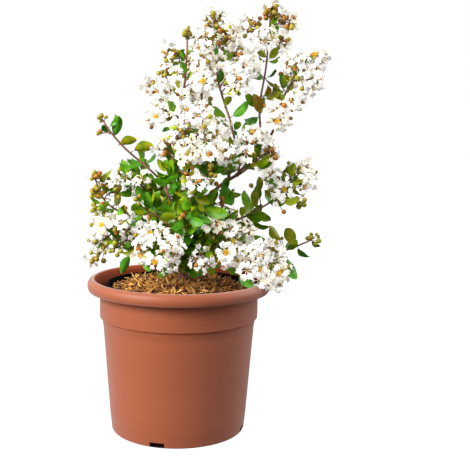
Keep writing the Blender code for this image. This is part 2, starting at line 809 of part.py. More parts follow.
class Space:
    """Keeps each shoot's pieces to its own space, clear of the limbs, the mulch and the pot's lip."""

    def __init__(self, limbs, shoots, stems):
        rows = [segment_rows(shoot, stem) for shoot, stem in zip(shoots, stems)]
        self.rows = np.array([row for group in rows for row in group])
        self.owner = np.array([index for index, group in enumerate(rows) for _ in group])
        self.limbs = np.array(
            [
                (*start, *end, max(wide, narrow))
                for path, radii in limbs.values()
                for start, end, wide, narrow in zip(path, path[1:], radii, radii[1:])
            ]
        )

    def holds(self, points, index):
        away = distance_to(points, self.rows)
        own = away[:, self.owner == index].min(axis=1)
        others = away[:, self.owner != index].min(axis=1)
        radius = np.hypot(points[:, 0], points[:, 1])
        over_pot = radius < RIM_RADIUS + LIP_CLEAR
        over_mulch = radius < LINER_RADIUS
        low = np.where(over_pot, POT_HEIGHT + LIP_CLEAR, LOWEST_LEAF)
        low = np.where(over_mulch, MULCH_TOP + MULCH_CLEAR, low)
        return bool(
            (own + SPACE_MARGIN < others).all()
            and (distance_to(points, self.limbs).min(axis=1) > LIMB_MARGIN).all()
            and (points[:, 2] > low).all()
        )


def template(add, **options):
    """The corners and faces of one of bmesh's primitives."""
    bm = bmesh.new()
    add(bm, **options)
    corners = np.array([vert.co for vert in bm.verts])
    faces = [[vert.index for vert in face.verts] for face in bm.faces]
    bm.free()
    return corners, faces


def frame_for(along, up):
    """Three unit vectors: across, up and along."""
    across = along.cross(up)
    if across.length < PARALLEL:
        across = along.orthogonal()
    across.normalize()
    return np.array([across, across.cross(along) * -1, along])


def loft(rings, axes_of):
    """The corners and faces of a solid through rings, each (place, corner count, radius, ruffle).

    A ring of one corner is a point. Each next ring has the same count, twice as many, or is a point.
    """
    corners = []
    faces = []
    starts = []
    for place, count, radius, ruffle in rings:
        starts.append(len(corners))
        across, face, ahead = axes_of(place)
        for index in range(count):
            angle = math.tau * index / count
            out = radius * (math.cos(angle) * across + math.sin(angle) * face)
            corners.append(np.array(place) + out + ruffle * math.cos(3 * angle) * ahead)
    for (low, high), (below, above) in zip(zip(starts, starts[1:]), zip(rings, rings[1:])):
        faces += band(low, below[1], high, above[1])
    if rings[0][1] > 1:
        faces.append(list(range(rings[0][1]))[::-1])
    if rings[-1][1] > 1:
        faces.append([starts[-1] + index for index in range(rings[-1][1])])
    return np.array(corners), faces


def band(low, low_count, high, high_count):
    """The faces between two rings of a loft."""
    if low_count == 1:
        return [[low, high + (side + 1) % high_count, high + side] for side in range(high_count)]
    if high_count == 1:
        return [[low + side, low + (side + 1) % low_count, high] for side in range(low_count)]
    faces = []
    for side in range(low_count):
        after = (side + 1) % low_count
        if high_count == low_count:
            faces.append([low + side, low + after, high + after, high + side])
        else:
            faces.append([low + side, high + 2 * side + 1, high + 2 * side])
            faces.append([low + side, low + after, high + 2 * side + 1])
            faces.append([low + after, high + 2 * after, high + 2 * side + 1])
    return faces


def leaf_piece(blade, root, along, up, length):
    """A leaf: a pointed blade with a flat underside and a ridge above, drooping to its tip."""
    across, face, ahead = frame_for(along.normalized(), up)
    ridge = blade[0][:, 0] > 0.5
    corners = blade[0] * (0, LEAF_WIDTH / math.sqrt(3), 0.5) + (0, 0, 0.5)
    corners = corners[:, [1, 0, 2]]
    corners[np.abs(blade[0][:, 2]) < 0.5, 2] = LEAF_WIDEST
    corners[ridge, 1] += LEAF_THICKNESS
    corners[:, 1] -= LEAF_DROOP * corners[:, 2] ** 2
    return np.array(root) + (corners * length) @ np.array([across, face, ahead]), blade[1]


def straight(way):
    axes = frame_for(way.normalized(), Vector((0.0, 0.0, 1.0)))
    return lambda place: axes


def bud_piece(foot, centre):
    """A bud on its stalk: a slim point at the foot, widest at the bud's middle."""
    way = (centre - foot).normalized()
    rings = [(foot, 1, 0, 0), (centre, 4, BUD_RADIUS, 0), (centre + way * BUD_RADIUS, 1, 0, 0)]
    return loft(rings, straight(way))


def bloom_piece(foot, centre):
    """A bloom on its stalk: a ruffled disc of six corners, on a neck that runs down to a point."""
    way = (centre - foot).normalized()
    neck = centre - way * BLOOM_DEPTH
    disc = [(centre, 6, BLOOM_RADIUS, BLOOM_RUFFLE), (centre, 1, 0, 0)]
    return loft([(foot, 1, 0, 0), (neck, 3, STALK_RADIUS, 0)] + disc, straight(way))


def twig_piece(foot, tip):
    """A three-sided twig, from a point on the stem's axis to a blunt tip."""
    way = (tip - foot).normalized()
    rings = [(foot, 1, 0, 0), (foot + way * TWIG_ROOT, 3, TWIG_RADIUS, 0), (tip, 3, TWIG_TIP_RADIUS, 0)]
    return loft(rings, straight(way))


def stem_piece(stem):
    """A three-sided stem through its points."""
    path, radii = stem
    ways = [(after - before).normalized() for before, after in zip([path[0]] + path, path[1:] + [path[-1]])]

    def axes_of(place):
        return frame_for(ways[path.index(place)], Vector(STEM_UP))

    return loft([(place, 3, radius, 0) for place, radius in zip(path, radii)], axes_of)


def samples(piece):
    """Points spread over a piece's faces, close enough together to stand for it."""
    corners, faces = piece
    found = [corners]
    for face in faces:
        for second, third in zip(face[1:], face[2:]):
            a, b, c = corners[face[0]], corners[second], corners[third]
            longest = max(np.linalg.norm(b - a), np.linalg.norm(c - a))
            count = max(1, math.ceil(longest / SAMPLE_STEP))
            steps = [(i, j) for i in range(count + 1) for j in range(count + 1 - i)]
            shares = np.array(steps) / count
            found.append(a + shares[:, :1] * (b - a) + shares[:, 1:] * (c - a))
    return np.concatenate(found)


class Mass:
    """The pieces of one shoot: its stem and twigs, then what fits in its space without crossing another."""

    def __init__(self, index, space, stem, twigs):
        self.index = index
        self.space = space
        self.pieces = [stem] + twigs
        self.trees = []

    def fit(self, candidates):
        """Adds the first candidate that fits."""
        for piece in candidates:
            if not self.space.holds(piece[0], self.index):
                continue
            tree = BVHTree.FromPolygons([Vector(corner) for corner in piece[0]], piece[1])
            if any(tree.overlap(other) for other in self.trees):
                continue
            if not self.space.holds(samples(piece), self.index):
                continue
            self.pieces.append(piece)
            self.trees.append(tree)
            return


def turned_out(way, angle, lift, rise=0.0):
    """A direction at this angle round another, lifted towards it."""
    across, face, _ = frame_for(way, Vector((0, 0, 1)))
    out = Vector(across * math.cos(angle) + face * math.sin(angle))
    return (out + way * lift + Vector((0, 0, rise))).normalized()


def add_stem_leaves(mass, shoot, stem, blade, rng):
    """Pairs of leaves up the stem, each pair turned about a quarter from the last."""
    for pair in range(shoot.pairs):
        at, way, _ = place_on(stem, LEAVES_FROM + LEAVES_RUN * (pair + 0.5) / shoot.pairs)
        up = Vector((0, 0, 1)) + way * LEAF_FACE
        for side in (0, 180):
            angle = math.radians(shoot.turn + pair * PAIR_TURN + side)
            length = LEAF_LENGTH * rng.uniform(*LEAF_SPREAD)
            outs = []
            for nudge in NUDGES:
                lift = rng.uniform(*LEAF_LIFT)
                outs.append(turned_out(way, angle + nudge, lift, rng.uniform(*LEAF_RISE)))
            mass.fit((leaf_piece(blade, at, out, up, length) for out in outs))


def add_head(mass, head, foot, centre, blade, rng):
    """The blooms and buds of a head, then the leaves on its twig."""
    way = (centre - foot).normalized()
    lean = (way + Vector((0, 0, HEAD_LEAN))).normalized()
    size = head.size * CM
    buds = round(head.buds * BUD_SHARE)
    blooms = min(head.blooms, max(1, round(head.blooms * BLOOM_SHARE)))
    for index in range(blooms + buds):
        stalk = centre - way * min(STALK_SPACING * (index + 0.5), (centre - foot).length * STALK_RUN)
        outs = around(lean, blooms + buds, index, rng)
        if index < blooms:
            mass.fit((bloom_piece(stalk, centre + out * size * BLOOM_REACH) for out in outs))
        else:
            mass.fit((bud_piece(stalk, centre + out * size * BUD_REACH) for out in outs))
    shares = TWIG_LEAF_PLACES[:1] if (centre - foot).length < SHORT_TWIG else TWIG_LEAF_PLACES
    for share in shares:
        at = foot.lerp(centre, share)
        angle = rng.uniform(0, math.tau)
        length = LEAF_LENGTH * rng.uniform(*TWIG_LEAF_SPREAD)
        outs = [turned_out(way, angle + turn, TWIG_LEAF_LIFT) for turn in TWIG_LEAF_TURNS]
        mass.fit((leaf_piece(blade, at, out, Vector((0, 0, 1)), length) for out in outs))


def around(lean, count, first, rng):
    """Directions to try, spread over the part of a ball that faces the way it leans."""
    axes = frame_for(lean, Vector(HEAD_UP))
    turn = rng.uniform(0, math.tau)
    for index in range(HEAD_TRIES):
        height = 1 - HEAD_COVER * ((first + index * HEAD_STEP) % count + HEAD_FIRST) / count
        ring = math.sqrt(max(0.0, 1 - height * height))
        angle = turn + index * GOLDEN_ANGLE
        yield Vector(np.array((ring * math.cos(angle), ring * math.sin(angle), height)) @ axes)


def piece_object(name, piece, home, finish=None):
    mesh = bpy.data.meshes.new(name)
    mesh.from_pydata([tuple(corner) for corner in piece[0]], [], piece[1])
    bm = bmesh.new()
    bm.from_mesh(mesh)
    bmesh.ops.recalc_face_normals(bm, faces=bm.faces)
    bmesh.ops.triangulate(bm, faces=bm.faces)
    bm.to_mesh(mesh)
    bm.free()
    return add_object(name, mesh, home, finish)


def drop_scraps(mesh):
    """Joins flat faces, then keeps the largest connected piece: scraps go, and sealed hollows fill."""
    bm = bmesh.new()
    bm.from_mesh(mesh)
    bmesh.ops.dissolve_limit(bm, angle_limit=FLAT_ANGLE, verts=bm.verts, edges=bm.edges)
    bmesh.ops.triangulate(bm, faces=bm.faces)
    islands = []
    left = set(bm.faces)
    while left:
        island = {left.pop()}
        front = set(island)
        while front:
            front = {other for face in front for edge in face.edges for other in edge.link_faces} - island
            island |= front
        left -= island
        islands.append(island)
    largest = max(islands, key=len)
    bmesh.ops.delete(bm, geom=[face for face in bm.faces if face not in largest], context="FACES")
    bm.to_mesh(mesh)
    bm.free()


def make_mass(index, shoot, stem, space, blade, home, finish):
    """One shoot, with every leaf, twig, bloom and bud that stays in its own space fused on."""
    rng = random.Random(SEED + index)
    centres = [cm((head.x, head.y, head.z)) for head in shoot.heads]
    feet = [twig_foot(stem, centre) for centre in centres]
    twigs = [twig_piece(foot, centre) for foot, centre in zip(feet, centres)]
    grown = Mass(index, space, stem_piece(stem), twigs)
    for head, foot, centre in zip(shoot.heads, feet, centres):
        add_head(grown, head, foot, centre, blade, rng)
    add_stem_leaves(grown, shoot, stem, blade, rng)
    pieces = grown.pieces[1:]
    mass = piece_object("mass_" + shoot.name, grown.pieces[0], home, finish)
    parts = new_collection("pieces of " + shoot.name)
    for number, piece in enumerate(pieces):
        piece_object(f"{shoot.name}_piece_{number}", piece, parts)
    union = mass.modifiers.new("Fuse", "BOOLEAN")
    union.operation = "UNION"
    union.operand_type = "COLLECTION"
    union.collection = parts
    union.solver = UNION_SOLVER
    applied(mass)
    for obj in list(parts.objects):
        bpy.data.objects.remove(obj, do_unlink=True)
    bpy.data.collections.remove(parts)
    drop_scraps(mass.data)


def make_plant(home):
    """The trunk, the boughs and the shoots."""
    bark = material("bark", (0.15, 0.055, 0.026), 0.8)
    foliage = material("foliage", (0.10, 0.22, 0.04), 0.5)
    limbs = grow_limbs()
    for name, limb in limbs.items():
        node = name if name == "trunk" else "bough_" + name
        make_limb(node, limb, THICK_SIDES if max(limb[1]) > THICK_LIMB else THIN_SIDES, home, bark)
    stems = [stem_of(shoot, limbs) for shoot in SHOOTS]
    space = Space(limbs, SHOOTS, stems)
    blade = template(bmesh.ops.create_uvsphere, u_segments=3, v_segments=2, radius=1.0)
    for index, (shoot, stem) in enumerate(zip(SHOOTS, stems)):
        make_mass(index, shoot, stem, space, blade, home, foliage)


def main():
    clear_scene()
    home = new_collection("potted crape myrtle")
    cutters = new_collection("cutters")
    cutters.hide_render = True
    make_pot(home, cutters, material("terracotta plastic", (0.285, 0.069, 0.023), 0.5))
    make_liner(home, material("black plastic", (0.004, 0.004, 0.004), 0.5))
    make_mulch(home, material("mulch", (0.25, 0.14, 0.06), 0.95))
    make_plant(home)


main()
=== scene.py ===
"""The looks of a white-flowered crape myrtle in a terracotta-coloured plastic pot.

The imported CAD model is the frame, and every piece here stands for nodes of it. The pot, its black growing pot
and the root ball are turned again with finer edges, and wood shreds are strewn over the top. The trunk and the
boughs are one mesh with the relief of bark. Each foliage mass grows again from the same two tables and by the
same rule as in the CAD source: a stem with pairs of leaves, and twigs that end in heads. Here every leaf is
folded and arched, every bloom has six crinkled petals on thin claws round a tuft of stamens, and every bud has
its own stalk. Lengths are metres, but those in the tables of boughs, shoots, blooms, leaves and buds are in
centimetres. The plant is seen from -Y.
"""

import json
import math
import random
from collections import namedtuple

import bmesh
import bpy
import numpy as np
from mathutils import Matrix, Quaternion, Vector, noise

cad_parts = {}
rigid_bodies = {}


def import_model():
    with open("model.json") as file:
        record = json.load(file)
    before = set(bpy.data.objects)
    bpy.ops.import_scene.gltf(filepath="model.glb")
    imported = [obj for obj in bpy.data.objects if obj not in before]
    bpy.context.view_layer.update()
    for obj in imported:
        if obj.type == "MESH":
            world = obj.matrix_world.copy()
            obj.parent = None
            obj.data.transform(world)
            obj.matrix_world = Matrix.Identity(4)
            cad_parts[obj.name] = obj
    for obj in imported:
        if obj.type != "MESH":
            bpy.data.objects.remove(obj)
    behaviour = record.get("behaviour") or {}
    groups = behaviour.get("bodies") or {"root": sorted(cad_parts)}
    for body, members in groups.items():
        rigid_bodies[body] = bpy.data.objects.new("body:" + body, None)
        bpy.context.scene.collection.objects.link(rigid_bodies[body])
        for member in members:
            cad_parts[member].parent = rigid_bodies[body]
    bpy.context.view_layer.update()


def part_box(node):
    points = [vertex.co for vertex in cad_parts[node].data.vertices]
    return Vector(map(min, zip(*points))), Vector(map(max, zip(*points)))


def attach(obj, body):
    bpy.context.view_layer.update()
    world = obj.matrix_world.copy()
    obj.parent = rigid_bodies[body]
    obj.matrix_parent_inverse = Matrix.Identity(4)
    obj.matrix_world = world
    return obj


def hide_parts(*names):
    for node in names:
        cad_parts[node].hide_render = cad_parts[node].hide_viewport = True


SEED = 41
PLACED_SEED = SEED + 500
SHRED_SEED = SEED + 900
GAP = 0.0003
ELBOW = 0.005
GOLDEN_TURN = math.radians(137.5)
UP = (0, 0, 1)
WHITE = (1, 1, 1, 1)

# Camera, fitted to the pot's ellipses in the photograph
IMAGE_SIDE = 470
FOCAL_PIXELS = 843.5
SENSOR_WIDTH = 36.0
CAMERA_PLACE = (0.0, -1.3755, 0.5084)
CAMERA_DOWN = math.radians(7.6215)
CAMERA_YAW = math.radians(3.7722)
CAMERA_ROLL = math.radians(1.0317)

# Light: the sky's strength, and each light's name, place, target, size, watts and colour
SKY_LIGHT = 0.80
LIGHTS = (
    ("main light", (-2.5, -1.9, 1.95), (0, 0, 0.35), 1.8, 235, (1.0, 0.99, 0.97)),
    ("side light", (2.6, 0.5, 1.4), (0, 0, 0.3), 1.6, 46, (1.0, 1.0, 1.0)),
)
FLOOR_REACH = 6.0

# Pot
RIM_WIDTH = 0.0165
RIM_HEIGHT = 0.0225
RIM_CURL = math.radians(45)
RIM_POINTS = 25
POT_FLOOR = 0.0125
BAND_RADIUS = 0.130
BAND_FOOT = 0.190
BAND_STEP = 0.0032
BODY_TOP_RADIUS = 0.1243
BASE_RADIUS = 0.1095
WALL = 0.0026
POT_STEPS = 144
POT_CREASE = math.radians(45)
# Faces that turn inwards more than this slope get the inside's painted shade
INSIDE_SHADE_SLOPE = -0.4
DRAIN_COUNT = 4
DRAIN_BEARING = math.radians(-17.5)
DRAIN_WIDTH = 0.0245
DRAIN_HEIGHT = 0.0085
DRAIN_SILL = 0.0003
DRAIN_HOLLOW = 0.012
DRAIN_CORNER = 0.002

# Growing pot, root ball and shreds
LINER_RADIUS = 0.1180
LINER_TOP = 0.2440
LINER_BASE_RADIUS = 0.0960
LINER_WALL = 0.0016
LINER_BEAD = 0.0012
LINER_BEAD_HEIGHT = 0.004
LINER_SWAY = 0.0006
LINER_STEPS = 96
MULCH_EDGE = 0.2300
MULCH_TOP = 0.2440
MULCH_FLAT = 0.028
MULCH_BUMP = 0.005
MULCH_RINGS = 40
MULCH_STEPS = 110
SHRED_COUNT = 2500
SHRED_LENGTH = (0.009, 0.030)
SHRED_WIDTH = (0.0016, 0.0042)
SHRED_LIFT = (0.0002, 0.0042)
SHRED_SHARES = (3, 4, 4)
STEEP_SHARE = 0.3

# Trunk: (height over its foot, radius) from the root flare to the tip
TRUNK_FOOT = (0.007, 0.012)
TRUNK_LEAN = (0.000, -0.004)
TRUNK_TAPER = (
    (0.0, 0.0115),
    (0.006, 0.0088),
    (0.016, 0.0074),
    (0.035, 0.0067),
    (0.065, 0.0058),
    (0.092, 0.0048),
    (0.116, 0.0040),
)
STEM_RADIUS = 0.0021
BOUGH_TIP_RADIUS = STEM_RADIUS + 0.0003
TIP_RADIUS = 0.0014
TWIG_RADIUS = 0.0012
TWIG_TIP_RADIUS = 0.0008
STALK_RADIUS = 0.0007

# Bark: the spacing of its rings, the height of its ridges, grain and knots as shares of the radius, how far
# apart the knots are, how wide they are as a share of that, and the flare of a bough's foot
BARK_STEP = 0.0016
BARK_RIDGE = 0.13
BARK_GRAIN = 0.05
BARK_KNOT = 0.07
KNOT_SPACING = 0.019
KNOT_WIDTH = 0.07
FOOT_FLARE = 0.55

# Leaves
LEAF_LENGTH = 0.039
LEAF_HALF_WIDTH = 0.265
LEAF_RIPPLE = 0.022
LEAF_ROWS = 9
LEAF_COLUMNS = 4
LEAF_FOLD = (0.15, 0.55)
LEAF_BEND = (0.35, 1.05)
LEAF_CLEARANCE = 0.002
RIB_HALF_WIDTH = 0.00055
RIB_HEIGHT = 0.0003
PETIOLE = 0.0035
PETIOLE_RADII = (0.0007, 0.0005)
SIDE_TWIG = 0.018
BACK_FROM = 0.03

# The turns about a twig that are tried one after another, until a leaf has a clear way
TURNS_ROUND = (0, 1.3, 2.6, 3.9, 5.2)

# Blooms: the fresh ones have more stamens, with gold anthers, and the warm ones have cream petals
BLOOM_RADIUS = 0.0172
BLOOM_REACH = 0.72
BLOOM_FOOT = 0.0045
PETAL_COUNT = 6
PETAL_ROWS = 7
PETAL_COLUMNS = 9
PETAL_HALF_WIDTH = 0.275
PETAL_FRILL = 0.0030
PETAL_PUCKER = 0.0016
PETAL_SAG = 0.0045
CLAW_SHARE = 0.40
STAMEN_COUNT = 22
STAMEN_HEIGHT = (0.0035, 0.0062)
STAMEN_RADII = (0.00018, 0.00014)
CUP_PROFILE = (
    (0, -0.0052), (0.0016, -0.0048), (0.0028, -0.0026), (0.0031, -0.0004), (0.0018, 0.0002), (0, -0.0004),
)
CUP_STEPS = 12
FRESH_SHARE = 0.05
WARM_SHARE = 0.3

# Buds: their outline is in bud radii
BUD_RADIUS = 0.0041
BUD_REACH = 0.95
BUD_PROFILE = (
    (0, 0), (0.45, 0.06), (0.86, 0.42), (1.0, 0.95), (0.86, 1.5), (0.48, 1.86), (0.12, 2.02), (0, 2.14),
)
BUD_STEPS = 12
BUDS_AMONG_BLOOMS = 0.9
BUD_TONES = ("olive", "lime", "rust")
BUD_SHARES = (4, 2, 4)
GREEN_BUD_SHARES = (4, 6, 1)

Bough = namedtuple("Bough", "name parent share radius via")
Shoot = namedtuple("Shoot", "name carrier stem pairs turn heads")

# Each bough: what it grows from, how far along that, its radius at the foot, and the points that it passes.
# It ends at the foot of the shoot of the same name in SHOOTS.
BOUGHS = (
    Bough("tall_left", "trunk", 1.00, 0.30, ((0.9, 0.4, 41.0), (0.3, 1.7, 46.5))),
    Bough("right_branch", "trunk", 0.93, 0.35, ((3.0, 0.0, 37.2), (6.6, -0.2, 40.6))),
    Bough("tall_centre", "right_branch", 0.80, 0.22, ((8.6, 0.6, 43.8),)),
    Bough("tall_right", "right_branch", 0.93, 0.23, ((11.2, 1.2, 44.4), (12.7, 2.2, 46.8))),
    Bough("right_shoulder", "tall_right", 0.45, 0.19, ((14.3, 3.6, 47.6), (15.6, 3.0, 50.2))),
    Bough("left_flank", "tall_left", 0.60, 0.21, ((0.3, 4.0, 46.6),)),
    Bough("centre_upper", "tall_left", 0.22, 0.22, ((1.2, -1.6, 41.6),)),
    Bough("centre_left", "trunk", 0.86, 0.22, ((0.3, -2.6, 38.4),)),
    Bough("centre_right", "right_branch", 0.14, 0.22, ((3.2, -2.6, 38.8),)),
    Bough("left_long", "trunk", 0.78, 0.21, ((-1.2, 1.0, 36.6),)),
    Bough("left_mid", "left_long", 0.45, 0.18, ((-1.9, 3.4, 36.6),)),
    Bough("left_buds", "trunk", 0.62, 0.24, ((-2.6, 2.0, 33.6),)),
    Bough("left_low", "trunk", 0.36, 0.22, ((-2.2, 1.2, 29.4),)),
    Bough("right_spray", "trunk", 0.58, 0.23, ((4.6, 2.2, 32.6),)),
    Bough("right_low_spray", "trunk", 0.40, 0.22, ((6.0, 3.4, 28.6), (11.0, 4.8, 27.9))),
    Bough("right_low", "trunk", 0.30, 0.24, ((4.6, -0.4, 28.2),)),
    Bough("back_tall", "tall_left", 0.30, 0.22, ((1.8, 3.6, 42.0), (3.0, 6.2, 46.0))),
    Bough("back_centre", "trunk", 0.88, 0.25, ((1.6, 5.0, 37.4),)),
    Bough("back_right", "back_centre", 0.80, 0.22, ((6.0, 8.0, 42.8),)),
    Bough("back_mid", "trunk", 0.68, 0.22, ((0.2, 4.6, 33.4),)),
    Bough("back_low_right", "trunk", 0.48, 0.22, ((3.0, 4.2, 29.8),)),
    Bough("back_low_left", "trunk", 0.52, 0.22, ((-1.4, 4.2, 30.4),)),
)

